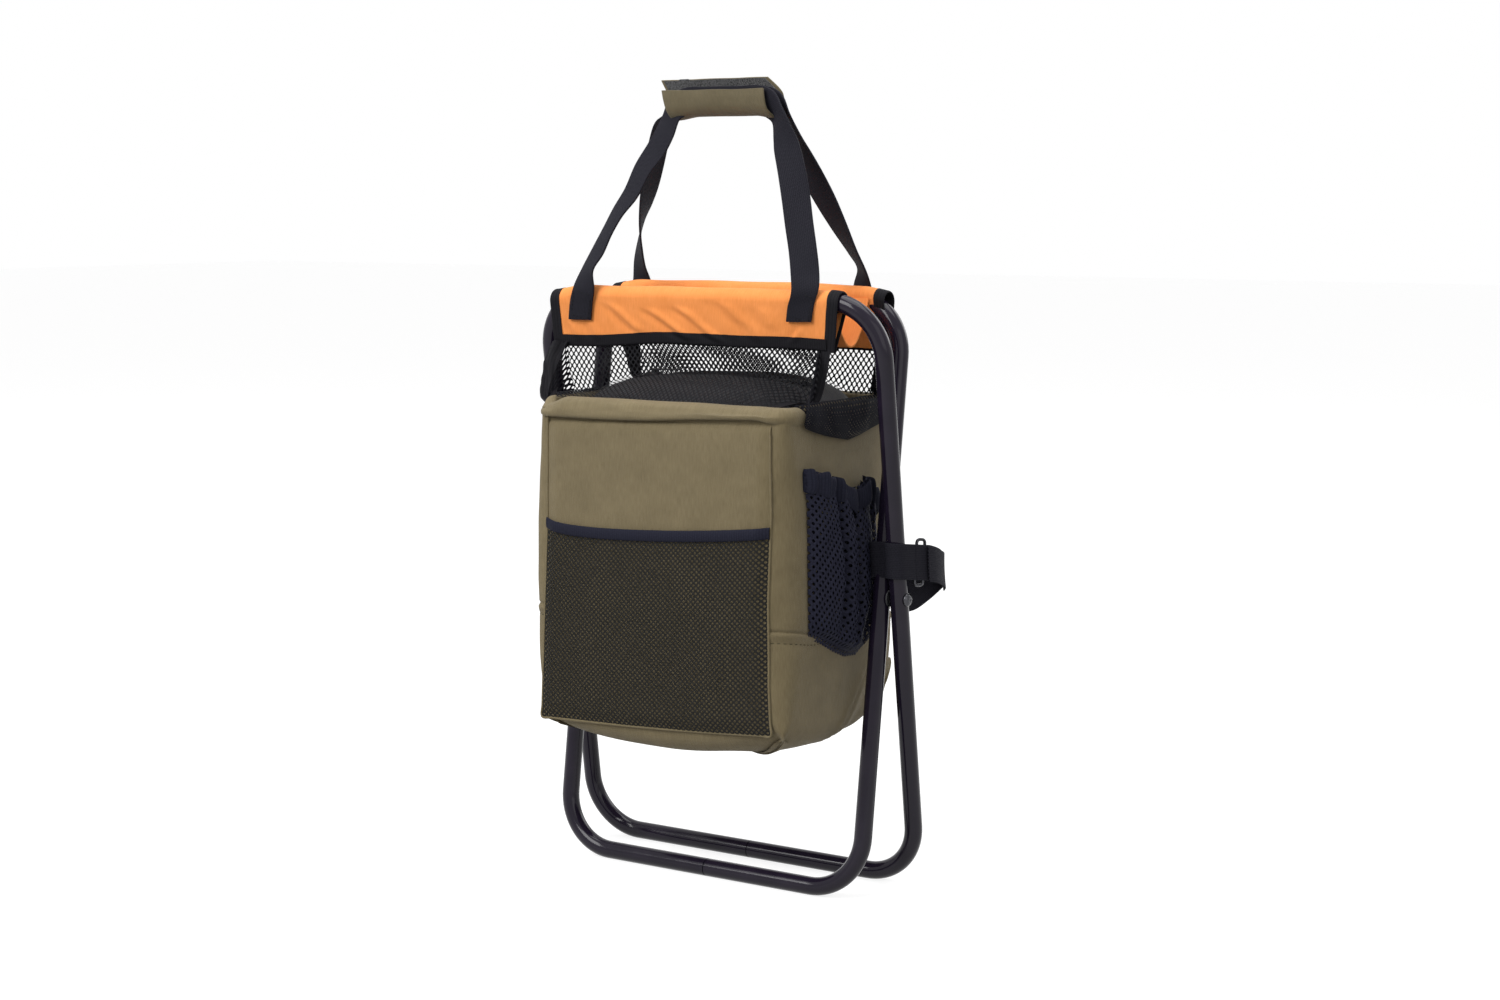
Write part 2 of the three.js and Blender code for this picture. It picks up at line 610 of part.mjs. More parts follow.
// The zip runs along the lid's flat crown. Its slider wraps the teeth and carries the puller on a bail.
function addZip(bottom) {
  const half = ZIP_TAPE_WIDTH / 2;
  const tooth = ZIP_TEETH_WIDTH / 2;
  const top = bottom + ZIP_TAPE;
  const tape = polygon([
    [-half, bottom], [half, bottom], [half, top], [tooth, top], [tooth, top + ZIP_TEETH_HEIGHT],
    [-tooth, top + ZIP_TEETH_HEIGHT], [-tooth, top], [-half, top],
  ]);
  addMesh(stool, 'zip', extrudeAlongX(tape, 2 * ZIP_HALF_LENGTH).translate(0, BAG_MIDDLE, 0), NYLON);
  const foot = top + SEAT_GAP;
  const wide = SLIDER_WIDTH / 2;
  const groove = tooth + SEAT_GAP;
  const roof = top + ZIP_TEETH_HEIGHT + SEAT_GAP;
  const slider = polygon([
    [-wide, foot], [-groove, foot], [-groove, roof], [groove, roof], [groove, foot], [wide, foot],
    [wide, foot + SLIDER_HEIGHT], [-wide, foot + SLIDER_HEIGHT],
  ]);
  const bailTop = foot + SLIDER_HEIGHT + BAIL_HEIGHT;
  const bail = new THREE.BoxGeometry(BAIL_LENGTH, BAIL_WIDTH, BAIL_HEIGHT + SLIDER_PLATE);
  bail.translate(0, 0, bailTop - (BAIL_HEIGHT + SLIDER_PLATE) / 2);
  const body = toSolid(extrudeAlongX(slider, SLIDER_LENGTH)).add(toSolid(bail));
  const seat = new THREE.Vector3(SLIDER_END_INSET - ZIP_HALF_LENGTH, BAG_MIDDLE, 0);
  addMesh(stool, 'zip_slider', toGeometry(body).translate(...seat), NYLON);
  const back = BAIL_LENGTH / 2 + SEAT_GAP;
  const end = PULLER_WIDTH / 2;
  const puller = roundedRectangle(-end, -end, PULLER_LENGTH - end, end, end / 2);
  const across = BAIL_WIDTH / 2 + SEAT_GAP;
  puller.holes.push(new THREE.Path(rectangle(-back, -across, back, across).getPoints()));
  const plate = new THREE.ExtrudeGeometry(puller, {
    depth: PULLER_THICKNESS, bevelEnabled: false, curveSegments: CORNER_STEPS,
  });
  plate.translate(seat.x, seat.y, foot + SLIDER_HEIGHT + SEAT_GAP);
  addMesh(stool, 'zip_puller', plate, NYLON);
}

// A net is a flat panel between a lower and an upper edge, with rows of diamond gaps
function netShape(lowerHalf, upperHalf, height, columns, rows) {
  const shape = polygon([[-lowerHalf, 0], [lowerHalf, 0], [upperHalf, height], [-upperHalf, height]]);
  const open = height - 2 * NET_BORDER;
  const halfAt = (z) => lowerHalf + (upperHalf - lowerHalf) * z / height - NET_BORDER;
  const rise = open / rows / 2 - NET_CORD / 2;
  for (let r = 0; r < rows; r += 1) {
    const middle = NET_BORDER + (r + 0.5) * open / rows;
    const half = halfAt(middle);
    const pitch = 2 * half / columns;
    const reach = pitch / 2 - NET_CORD / 2;
    for (let c = 0; c < columns; c += 1) {
      const x = -half + (c + 0.5) * pitch;
      const diamond = [[x - reach, middle], [x, middle - rise], [x + reach, middle], [x, middle + rise]];
      shape.holes.push(new THREE.Path(diamond.map(([a, b]) => new THREE.Vector2(a, b))));
    }
  }
  return shape;
}

// The front and rear nets slope from the rolled border up to the hems
function addSlopingNet(side, lean) {
  const sign = Math.sign(lean);
  const rollTop = BAG_TOP + SEAT_GAP + ROLL_HEIGHT;
  const rollMiddle = BAG_HALF_DEPTH - drawnAt(BAG_TOP) - ROLL_WIDTH / 2;
  const low = new THREE.Vector2(BAG_MIDDLE - sign * rollMiddle, rollTop + SEAT_GAP + NET);
  const high = onBar(lean, -sign * SLEEVE_INNER / 2, -HEM_BOTTOM - SEAT_GAP - NET);
  const height = low.distanceTo(high);
  const lowerHalf = BAG_HALF_WIDTH - BAG_CORNER;
  const shape = netShape(lowerHalf, SLEEVE_HALF_LENGTH, height, NET_COLUMNS, NET_ROWS);
  const panel = extrudeBack(shape, NET).translate(0, -NET / 2, 0);
  const tip = Math.atan2(low.x - high.x, high.y - low.y);
  panel.rotateX(tip).translate(0, low.x, low.y);
  addMesh(stool, `${side}_net`, panel, DARK_NET);
}

// A side net is slack: it hangs over the bag's side in folds, and its top edge swags between the sleeves
function addSideNet(side) {
  const sign = SIDES[side];
  const rollTop = BAG_TOP + SEAT_GAP + ROLL_HEIGHT;
  const rootX = BAG_HALF_WIDTH - drawnAt(BAG_TOP) - ROLL_FLAT + SEAT_GAP + NET / 2;
  const front = BAG_FRONT + BAG_CORNER;
  const rear = BAG_REAR - BAG_CORNER;
  const tie = onBar(REST_LEAN, 0, -HEM_BOTTOM - SEAT_GAP - NET);
  const place = (u, v) => {
    const swag = 1 - (2 * u - 1) ** 2;
    const fold = SIDE_NET_FOLD * Math.sin(2 * HALF_TURN * SIDE_NET_FOLDS * u) * Math.sin(HALF_TURN * v);
    const belly = Math.sin(HALF_TURN * v);
    const rootY = front + (rear - front) * u;
    const tieY = tie.x * (1 - 2 * u);
    const y = rootY + (tieY - rootY) * v;
    const lip = rollTop - ROLL_HEIGHT / 2;
    const rim = tie.y - (tie.y - lip) * swag;
    const z = lip + (rim - lip) * v - SIDE_NET_DROOP * belly * (0.35 + 0.65 * swag);
    const x = rootX + (SIDE_NET_BULGE - SIDE_NET_FOLD) * (belly * 0.75 + v * 0.25) + fold;
    return new THREE.Vector3(sign * x, y, z);
  };
  addMesh(stool, `${side}_net`, sheet(place, NET, SIDE_NET_ACROSS, SIDE_NET_DOWN), DARK_NET);
}

function addFrontPanel() {
  const skin = roundedRectangle(-PANEL_HALF_WIDTH, PANEL_BOTTOM, PANEL_HALF_WIDTH, PANEL_TOP, PANEL_CORNER);
  const back = BAG_FRONT - SEAT_GAP;
  const panel = extrudeBack(skin, PANEL_THICKNESS, CORNER_STEPS);
  addMesh(stool, 'front_panel', panel.translate(0, back - PANEL_THICKNESS, 0), OLIVE_CLOTH);
  const face = back - PANEL_THICKNESS - SEAT_GAP;
  const netTop = POCKET_TOP - POCKET_BINDING - SEAT_GAP;
  const bottom = PANEL_BOTTOM + PANEL_CORNER / 2;
  const half = PANEL_HALF_WIDTH - PANEL_CORNER / 4;
  const net = netShape(half, half, netTop - bottom, SLIP_POCKET_COLUMNS, SLIP_POCKET_ROWS);
  addMesh(stool, 'slip_pocket_net', extrudeBack(net, NET).translate(0, face - NET, bottom), DARK_NET);
  const band = rectangle(-half, POCKET_TOP - POCKET_BINDING, half, POCKET_TOP);
  const binding = extrudeBack(band, POCKET_BINDING_THICKNESS);
  addMesh(stool, 'slip_pocket_binding', binding.translate(0, face - POCKET_BINDING_THICKNESS, 0), BLACK_WEBBING);
}

// A side pocket is half a cup against the bag's side. Its plan is a shallow arch.
function archPlan(front, rear, bulge, wall, sign) {
  const root = BAG_HALF_WIDTH + SEAT_GAP;
  const middle = (front + rear) / 2;
  const half = (rear - front) / 2;
  const arch = (reach, depth, i) => {
    const angle = i / SIDE_POCKET_STEPS * HALF_TURN;
    const y = middle - reach * Math.cos(angle);
    return new THREE.Vector2(sign * (root + depth * Math.sin(angle) ** 0.5), y);
  };
  const steps = Array.from({ length: SIDE_POCKET_STEPS + 1 }, (_, i) => i);
  const outer = steps.map((i) => arch(half, bulge, i));
  const inner = steps.map((i) => arch(half - wall, bulge - wall, i)).reverse();
  return { outer, ring: [...outer, ...inner] };
}

function addSidePocket(side) {
  const sign = SIDES[side];
  const upright = (points, height, bottom) => {
    const options = { depth: height, bevelEnabled: false };
    return new THREE.ExtrudeGeometry(new THREE.Shape(points), options).translate(0, 0, bottom);
  };
  const wall = archPlan(SIDE_POCKET_FRONT, SIDE_POCKET_REAR, SIDE_POCKET_BULGE, NET, sign);
  const wallTop = SIDE_POCKET_TOP - SIDE_BINDING - SEAT_GAP;
  const net = upright(wall.ring, wallTop - SIDE_POCKET_BOTTOM, SIDE_POCKET_BOTTOM);
  const floor = upright(wall.outer, NET, SIDE_POCKET_BOTTOM);
  addMesh(stool, `${side}_pocket_net`, toGeometry(toSolid(net).add(toSolid(floor))), DARK_NET);
  const lip = archPlan(SIDE_POCKET_FRONT, SIDE_POCKET_REAR, SIDE_POCKET_BULGE, POCKET_BINDING_THICKNESS, sign);
  const binding = upright(lip.ring, SIDE_BINDING, SIDE_POCKET_TOP - SIDE_BINDING);
  addMesh(stool, `${side}_pocket_binding`, binding, BLACK_WEBBING);
}

// The outline of a strap of even width along a row of points
function ribbonOutline(points, width) {
  const edge = (side) => points.map((point, i) => {
    const before = points[Math.max(i - 1, 0)];
    const after = points[Math.min(i + 1, points.length - 1)];
    const came = point.clone().sub(before);
    const goes = after.clone().sub(point);
    const first = (came.length() > 0 ? came : goes).clone().normalize();
    const second = (goes.length() > 0 ? goes : came).clone().normalize();
    const mitre = first.add(second).normalize();
    const stretch = width / 2 / mitre.dot(second);
    return new THREE.Vector2(point.x - side * mitre.y * stretch, point.y + side * mitre.x * stretch);
  });
  return new THREE.Shape([...edge(-1), ...edge(1).reverse()]);
}

// Where a handle leaves its sleeve, and where its top run ends, in the stool's Y and Z
const HANDLE_HINGE_ACROSS = SLEEVE_OUTER + SEAT_GAP + WEBBING / 2;
const HANDLE_HINGE = onBar(REST_LEAN, -HANDLE_HINGE_ACROSS, SLEEVE_OUTER);
const HANDLE_TIP = Math.atan2(-HANDLE_HINGE.x - HANDLE_TOP_APART, HANDLE_RISE);
const HANDLE_LENGTH = HANDLE_RISE / Math.cos(HANDLE_TIP);

// A handle is one arch of webbing. It leans in to the grip, and its ends are sewn on the sleeve.
function addHandle(frame, side) {
  const sign = Math.sign(frame.rotation.x);
  const top = HANDLE_LENGTH - HANDLE_WEBBING_WIDTH / 2;
  const shoulder = new THREE.Vector2(HANDLE_TOP_SPREAD, top - HANDLE_CORNER);
  const half = [SEAT_GAP, HANDLE_ROOT].map((height) => new THREE.Vector2(HANDLE_SPREAD, height));
  for (let i = 0; i <= HANDLE_CORNER_STEPS; i += 1) {
    const angle = i / HANDLE_CORNER_STEPS * QUARTER_TURN;
    const x = shoulder.x - HANDLE_CORNER * (1 - Math.cos(angle));
    half.push(new THREE.Vector2(x, shoulder.y + HANDLE_CORNER * Math.sin(angle)));
  }
  const mirrored = half.map((point) => new THREE.Vector2(-point.x, point.y)).reverse();
  const arch = extrudeBack(ribbonOutline([...half, ...mirrored], HANDLE_WEBBING_WIDTH), WEBBING);
  arch.translate(0, -WEBBING / 2, 0).rotateX(-sign * HANDLE_TIP);
  addMesh(stool, `${side}_handle`, arch.translate(0, sign * HANDLE_HINGE.x, HANDLE_HINGE.y), BLACK_WEBBING);
  Object.entries(SIDES).forEach(([end, turn]) => {
    const tab = new THREE.BoxGeometry(HANDLE_WEBBING_WIDTH, WEBBING, TAB_LENGTH);
    const height = HALF_LENGTH + SLEEVE_OUTER - TAB_LENGTH / 2;
    tab.translate(turn * HANDLE_SPREAD, -sign * HANDLE_HINGE_ACROSS, height - SEAT_GAP);
    addMesh(frame, `${side}_handle_tab_${end}`, tab, BLACK_WEBBING);
  });
}

// The grip is a cloth wrap, open at the top, round the top runs of both handles
function addGrip() {
  const low = HANDLE_LENGTH - HANDLE_WEBBING_WIDTH;
  const centre = HANDLE_HINGE.y + HANDLE_RISE - GRIP_DROP;
  const corner = new THREE.Vector2(
    HANDLE_HINGE.x + low * Math.sin(HANDLE_TIP) - WEBBING / 2 * Math.cos(HANDLE_TIP),
    HANDLE_HINGE.y + low * Math.cos(HANDLE_TIP) - WEBBING / 2 * Math.sin(HANDLE_TIP) - centre);
  const inner = (corner.length() + SEAT_GAP) / Math.cos(HALF_TURN / GRIP_STEPS / 2);
  const outer = inner + GRIP_CLOTH;
  const shape = new THREE.Shape();
  shape.moveTo(-outer, centre + GRIP_FRONT_FLAP);
  shape.absarc(0, centre, outer, HALF_TURN, 2 * HALF_TURN);
  shape.lineTo(outer, centre + GRIP_REAR_FLAP);
  shape.lineTo(inner, centre + GRIP_REAR_FLAP);
  shape.absarc(0, centre, inner, 2 * HALF_TURN, HALF_TURN, true);
  shape.lineTo(-inner, centre + GRIP_FRONT_FLAP);
  shape.closePath();
  addMesh(stool, 'grip_wrap', extrudeAlongX(shape, 2 * GRIP_HALF_LENGTH, GRIP_STEPS), OLIVE_CLOTH);
  const tapes = { grip_hook_tape: [-1, GRIP_FRONT_FLAP], grip_loop_tape: [1, GRIP_REAR_FLAP] };
  Object.entries(tapes).forEach(([name, [sign, flap]]) => {
    const tape = new THREE.BoxGeometry(2 * TAPE_HALF_LENGTH, TAPE_THICKNESS, TAPE_HEIGHT);
    const across = sign * (inner - SEAT_GAP - TAPE_THICKNESS / 2);
    const height = centre + flap - TAPE_HEIGHT / 2 - BINDING;
    addMesh(stool, name, tape.translate(0, across, height), BLACK_WEBBING);
  });
}

// The closure strap is a flat loop round both right legs. A wire ring and the loose tail lie outside it.
function addClosure() {
  const middleX = (OUTER_HALF_WIDTH + INNER_HALF_WIDTH) / 2;
  const inner = LEG_OFFSET / 2 + TUBE_RADIUS + SEAT_GAP * 2;
  const loop = (radius) => {
    const path = new THREE.Shape();
    path.absarc(middleX, CLOSURE_REACH, radius, 0, HALF_TURN);
    path.absarc(middleX, -TUBE_RADIUS, radius, HALF_TURN, 2 * HALF_TURN);
    path.closePath();
    return path;
  };
  const band = loop(inner + WEBBING);
  band.holes.push(loop(inner));
  const options = { depth: CLOSURE_WEBBING_WIDTH, bevelEnabled: false, curveSegments: CLOSURE_STEPS };
  const strap = new THREE.ExtrudeGeometry(band, options).translate(0, 0, -CLOSURE_WEBBING_WIDTH / 2);
  strap.rotateX(-CLOSURE_TILT).translate(0, 0, CLOSURE_HEIGHT);
  addMesh(stool, 'closure_strap', strap, BLACK_WEBBING);
  const face = middleX + inner + WEBBING + SEAT_GAP;
  addMesh(stool, 'closure_ring', closureRing(face), STEEL);
  const tail = new THREE.BoxGeometry(WEBBING, CLOSURE_TAIL_LENGTH, CLOSURE_WEBBING_WIDTH);
  tail.rotateX(-CLOSURE_TAIL_TILT);
  const tailMiddle = RING_PLACE + RING_WIDTH / 2 + SEAT_GAP + CLOSURE_TAIL_LENGTH / 2;
  tail.translate(face + WEBBING / 2, tailMiddle, CLOSURE_HEIGHT - CLOSURE_TAIL_DROP);
  addMesh(stool, 'closure_strap_tail', tail, BLACK_WEBBING);
}

// The ring is round wire bent to a tall rounded rectangle
function closureRing(face) {
  const [halfY, halfZ] = [(RING_WIDTH - RING_WIRE) / 2, (RING_HEIGHT - RING_WIRE) / 2];
  const rings = [];
  [[1, -1], [1, 1], [-1, 1], [-1, -1]].forEach(([sideY, sideZ], k) => {
    for (let i = 0; i <= RING_CORNER_STEPS; i += 1) {
      const angle = (k - 1 + i / RING_CORNER_STEPS) * QUARTER_TURN;
      const y = sideY * (halfY - RING_CORNER) + RING_CORNER * Math.cos(angle);
      const z = sideZ * (halfZ - RING_CORNER) + RING_CORNER * Math.sin(angle);
      rings.push(circlePoints(RING_WIRE / 2, RING_SIDES).map((point) => new THREE.Vector3(
        point.y, y + point.x * Math.cos(angle), z + point.x * Math.sin(angle))));
    }
  });
  const ring = loft(rings, true).rotateX(-CLOSURE_TILT);
  return ring.translate(face + RING_WIRE / 2, RING_PLACE, CLOSURE_HEIGHT);
}

const outerFrame = makeFrame('outer_frame', OUTER_HALF_WIDTH, REST_LEAN);
const innerFrame = makeFrame('inner_frame', INNER_HALF_WIDTH, -REST_LEAN);
Object.keys(SIDES).forEach(addPivot);
addSleeve(outerFrame, 'front');
addSleeve(innerFrame, 'rear');
addSling();
addBag();
addRollAndLid();
addFrontPanel();
Object.keys(SIDES).forEach(addSidePocket);
addSlopingNet('front', REST_LEAN);
addSlopingNet('rear', -REST_LEAN);
Object.keys(SIDES).forEach(addSideNet);
addHandle(outerFrame, 'front');
addHandle(innerFrame, 'rear');
addGrip();
addClosure();

// The origin moves from under the rivets to under the middle of the stool
const frontmost = BAG_FRONT - PANEL_THICKNESS - POCKET_BINDING_THICKNESS - 2 * SEAT_GAP;
stool.position.y = -(frontmost + BAG_REAR) / 2;

export default stool;
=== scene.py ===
"""Looks of the folding cooler stool: two bent tube frames carry a sling seat, an insulated bag and straps.

Sizes are in millimetres. X and Z are the part's own, and Y is measured from the line through the rivets.
"""

import logging
import math
from bisect import bisect_right
from dataclasses import dataclass, field
from enum import Enum
from typing import Callable, Iterable, Sequence

import bpy
from mathutils import Matrix, Vector, noise


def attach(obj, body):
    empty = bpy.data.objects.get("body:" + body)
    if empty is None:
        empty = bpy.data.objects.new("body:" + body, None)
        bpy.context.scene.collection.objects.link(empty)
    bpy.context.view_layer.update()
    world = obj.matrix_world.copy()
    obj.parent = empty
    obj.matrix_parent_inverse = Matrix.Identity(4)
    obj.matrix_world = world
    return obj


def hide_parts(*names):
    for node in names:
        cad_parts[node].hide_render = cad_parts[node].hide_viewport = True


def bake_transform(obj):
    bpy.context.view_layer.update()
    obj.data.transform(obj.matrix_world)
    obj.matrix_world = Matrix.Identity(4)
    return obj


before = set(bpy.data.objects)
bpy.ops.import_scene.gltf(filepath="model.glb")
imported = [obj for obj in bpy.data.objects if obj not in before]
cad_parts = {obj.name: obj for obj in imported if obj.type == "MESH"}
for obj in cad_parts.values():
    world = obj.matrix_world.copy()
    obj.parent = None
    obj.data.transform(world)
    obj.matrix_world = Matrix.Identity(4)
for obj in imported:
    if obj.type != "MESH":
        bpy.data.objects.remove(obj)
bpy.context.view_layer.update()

LOG = logging.getLogger("cooler_stool")

MM = 0.001
SPUN_SIDES = 32
PANEL_WIDTH = 240.0
PIVOT_Y = 16.4
PIVOT_Z = 266.187
LEAN = math.radians(8)
HALF_LENGTH = 261.0
TUBE_RADIUS = 8.0
OUTER_HALF_WIDTH = 177.0
INNER_HALF_WIDTH = 159.2
QUARTER_TURN = math.pi / 2

Piece = bpy.types.Object
Socket = bpy.types.NodeSocket
Place = Callable[[float, float], Vector]
Run = tuple[tuple[float, float, float], ...]
Table = tuple[tuple[float, float], ...]


def at(x: float, y: float, z: float) -> Vector:
    """The part's own place, in metres, of a point given in millimetres from the rivets' line."""
    return Vector((x, y + PIVOT_Y, z)) * MM


def unit(value: float) -> float:
    """The value, held between 0 and 1."""
    return min(1.0, max(0.0, value))


def smooth(low: float, high: float, value: float) -> float:
    """How far value has come from low to high, from 0 to 1, eased at both ends."""
    share = unit((value - low) / (high - low))
    return share * share * (3 - 2 * share)


def bump(value: float, centre: float, width: float) -> float:
    """A soft hill of height 1 at centre, gone at about twice width from it."""
    return math.exp(-(((value - centre) / width) ** 2))


def ripple(x: float, y: float, z: float, size: float, seed: float = 0.0) -> float:
    """Even, seeded unevenness from -1 to 1 over a distance of about size."""
    return noise.noise(Vector((x / size + seed, y / size - seed, z / size + 2 * seed)))


def spline(points: Sequence[Vector], share: float) -> Vector:
    """A point on the smooth curve through a row of points.

    Args:
        points: The points, evenly spaced in the share.
        share: The place along the row, from 0 to 1.

    Returns:
        The point there.
    """
    last = len(points) - 1
    place = unit(share) * last
    k = min(int(place), last - 1)
    t = place - k
    before, here, there, after = (points[min(max(k + i, 0), last)] for i in (-1, 0, 1, 2))
    return 0.5 * (
        2 * here
        + (there - before) * t
        + (2 * before - 5 * here + 4 * there - after) * t * t
        + (3 * here - before - 3 * there + after) * t * t * t
    )


class Path:
    """A smooth curve through points, walked evenly."""

    def __init__(self, points: Sequence[Sequence[float]], steps: int = 64) -> None:
        """Samples the curve.

        Args:
            points: The points that it goes through.
            steps: The steps that its length is measured in.
        """
        self.points = [Vector(p) for p in points]
        self.line = [spline(self.points, i / steps) for i in range(steps + 1)]
        self.lengths = [0.0]
        for a, b in zip(self.line, self.line[1:]):
            self.lengths.append(self.lengths[-1] + (b - a).length)

    @property
    def length(self) -> float:
        """The whole length."""
        return self.lengths[-1]

    def step(self, share: float) -> float:
        """The curve's own share at a share of its length.

        Args:
            share: The share of the length.

        Returns:
            The share of the row of points.
        """
        walked = unit(share) * self.length
        k = min(max(bisect_right(self.lengths, walked) - 1, 0), len(self.line) - 2)
        t = (walked - self.lengths[k]) / max(self.lengths[k + 1] - self.lengths[k], 1e-9)
        return (k + t) / (len(self.line) - 1)

    def at(self, share: float) -> Vector:
        """The point at a share of the length."""
        return spline(self.points, self.step(share))


class Body(Enum):
    """The bodies that the pieces ride on."""

    BAG = "bag"
    OUTER = "outer_frame"
    INNER = "inner_frame"
    FRONT_HANDLE = "front_handle"
    REAR_HANDLE = "rear_handle"
    SLIDER = "zip_slider"


class Side(Enum):
    """The two frames' ends of the stool, with the sign of their lean."""

    FRONT = 1
    REAR = -1

    @property
    def body(self) -> Body:
        """The frame that carries this side's cloth."""
        return Body.OUTER if self is Side.FRONT else Body.INNER

    @property
    def label(self) -> str:
        """The side's name in a piece's name."""
        return self.name.lower()

    @property
    def loop(self) -> str:
        """The tube loop that carries this side's cloth."""
        return "outer_loop" if self is Side.FRONT else "inner_loop"


class Hand(Enum):
    """The stool's left and right, with the sign of their X."""

    LEFT = -1
    RIGHT = 1

    @property
    def label(self) -> str:
        """The hand's name in a piece's name."""
        return self.name.lower()


def on_bar(side: Side, out: float, up: float) -> tuple[float, float]:
    """A point beside a frame's top bar.

    Args:
        side: The frame.
        out: The distance from the bar's middle line, away from the stool's middle.
        up: The distance along the frame's length, above the middle line.

    Returns:
        The point's Y and Z in millimetres.
    """
    c, s = math.cos(LEAN), math.sin(LEAN)
    y = -out * c - (HALF_LENGTH + up) * s
    z = PIVOT_Z - out * s + (HALF_LENGTH + up) * c
    return side.value * y, z


# Modelling helpers


def deselect() -> None:
    """Leaves nothing selected, so that an operator acts on the new piece alone."""
    bpy.ops.object.select_all(action="DESELECT")


def select(piece: Piece) -> None:
    """Makes one piece the active and the only selected one.

    Args:
        piece: The piece.
    """
    deselect()
    piece.select_set(True)
    bpy.context.view_layer.objects.active = piece


def settle(name: str) -> Piece:
    """Names the active piece and puts its place into its mesh.

    Args:
        name: The piece's name.

    Returns:
        The piece.
    """
    piece = bpy.context.active_object
    select(piece)
    bpy.ops.object.transform_apply(location=True, rotation=True, scale=True)
    piece.name = name
    piece.data.name = name
    return piece


def modify(piece: Piece, kind: str, **settings: object) -> None:
    """Adds a modifier with these settings and applies it.

    Args:
        piece: The piece.
        kind: The modifier's type.
        settings: The modifier's own settings.
    """
    select(piece)
    made = piece.modifiers.new(kind.lower(), kind)
    for name, value in settings.items():
        setattr(made, name, value)
    bpy.ops.object.modifier_apply(modifier=made.name)


def thicken(piece: Piece, thickness: float, offset: float = 0.0, even: bool = True) -> None:
    """Gives a sheet its thickness in millimetres. Offset -1 keeps its outer face, and a tight fold isn't even."""
    modify(piece, "SOLIDIFY", thickness=thickness * MM, offset=offset, use_even_offset=even)


def round_off(piece: Piece, width: float, segments: int = 2, angle: float = 40) -> None:
    """Bevels the edges that are sharper than angle, in degrees, by width in millimetres.

    Args:
        piece: The piece.
        width: The bevel's width.
        segments: The facets across it.
        angle: The least angle that is bevelled.
    """
    modify(
        piece, "BEVEL", width=width * MM, segments=segments, limit_method="ANGLE",
        angle_limit=math.radians(angle),
    )


def shade(piece: Piece, angle: float = 50) -> None:
    """Shades a piece smooth, apart from edges sharper than angle in degrees."""
    select(piece)
    bpy.ops.object.shade_smooth_by_angle(angle=math.radians(angle))


def draw_out(run_x: float, run_z: float) -> None:
    """In edit mode, draws the selected points out along a straight run in X and Z, in millimetres."""
    bpy.ops.mesh.extrude_region_move(TRANSFORM_OT_translate={"value": (run_x * MM, 0, run_z * MM)})


def merge_and_leave(distance: float = 0.01) -> None:
    """In edit mode, merges the points that meet, turns the faces outwards, and leaves that mode.

    Args:
        distance: How near the points are that merge, in millimetres.
    """
    bpy.ops.mesh.select_all(action="SELECT")
    bpy.ops.mesh.remove_doubles(threshold=distance * MM)
    bpy.ops.mesh.normals_make_consistent(inside=False)
    bpy.ops.object.mode_set(mode="OBJECT")


def weld(piece: Piece, distance: float) -> None:
    """Merges a piece's points that lie within a distance, and turns its faces outwards.

    Args:
        piece: The piece.
        distance: How near the points are that merge, in millimetres.
    """
    select(piece)
    bpy.ops.object.mode_set(mode="EDIT")
    merge_and_leave(distance)


def join(pieces: Sequence[Piece], name: str) -> Piece:
    """Joins pieces into one, under a name.

    Args:
        pieces: The pieces.
        name: The joined piece's name.

    Returns:
        The joined piece.
    """
    deselect()
    for piece in pieces:
        piece.select_set(True)
    bpy.context.view_layer.objects.active = pieces[0]
    if len(pieces) > 1:
        bpy.ops.object.join()
    return settle(name)


def sheet_of(
    name: str, cells: tuple[int, int], flat: tuple[float, float], place: Place, flip: bool = False
) -> Piece:
    """A grid whose points are placed by a formula, with a UV map in metres of the flat cloth.

    Args:
        name: The piece's name.
        cells: The cells across and along.
        flat: The size of the flat cloth across and along, in millimetres.
        place: Gives the point, in millimetres, for shares from 0 to 1 across and along.
        flip: Turns the faces the other way.

    Returns:
        The piece, with its place in its mesh.
    """
    deselect()
    bpy.ops.mesh.primitive_grid_add(x_subdivisions=cells[0], y_subdivisions=cells[1], size=1, calc_uvs=True)
    piece = settle(name)
    mesh = piece.data
    shares = [(v.co.x + 0.5, v.co.y + 0.5) for v in mesh.vertices]
    for vertex, (u, v) in zip(mesh.vertices, shares):
        vertex.co = at(*place(u, v))
    layer = mesh.uv_layers.active.data
    for loop in mesh.loops:
        u, v = shares[loop.vertex_index]
        layer[loop.index].uv = (u * flat[0] * MM, v * flat[1] * MM)
    if flip:
        mesh.flip_normals()
    mesh.update()
    return piece


def block(
    name: str, size: tuple[float, float, float], middle: Vector, edge: float, segments: int = 2
) -> Piece:
    """A block with rounded edges.

    Args:
        name: The piece's name.
        size: Its sizes along X, Y and Z, in millimetres.
        middle: The place of its middle, in metres.
        edge: How wide its edges are rounded, in millimetres.
        segments: The facets across a rounded edge.

    Returns:
        The block.
    """
    deselect()
    bpy.ops.mesh.primitive_cube_add(size=1)
    piece = settle(name)
    piece.data.transform(Matrix.Translation(middle) @ Matrix.Diagonal((*(way * MM for way in size), 1)))
    round_off(piece, edge, segments)
    return piece


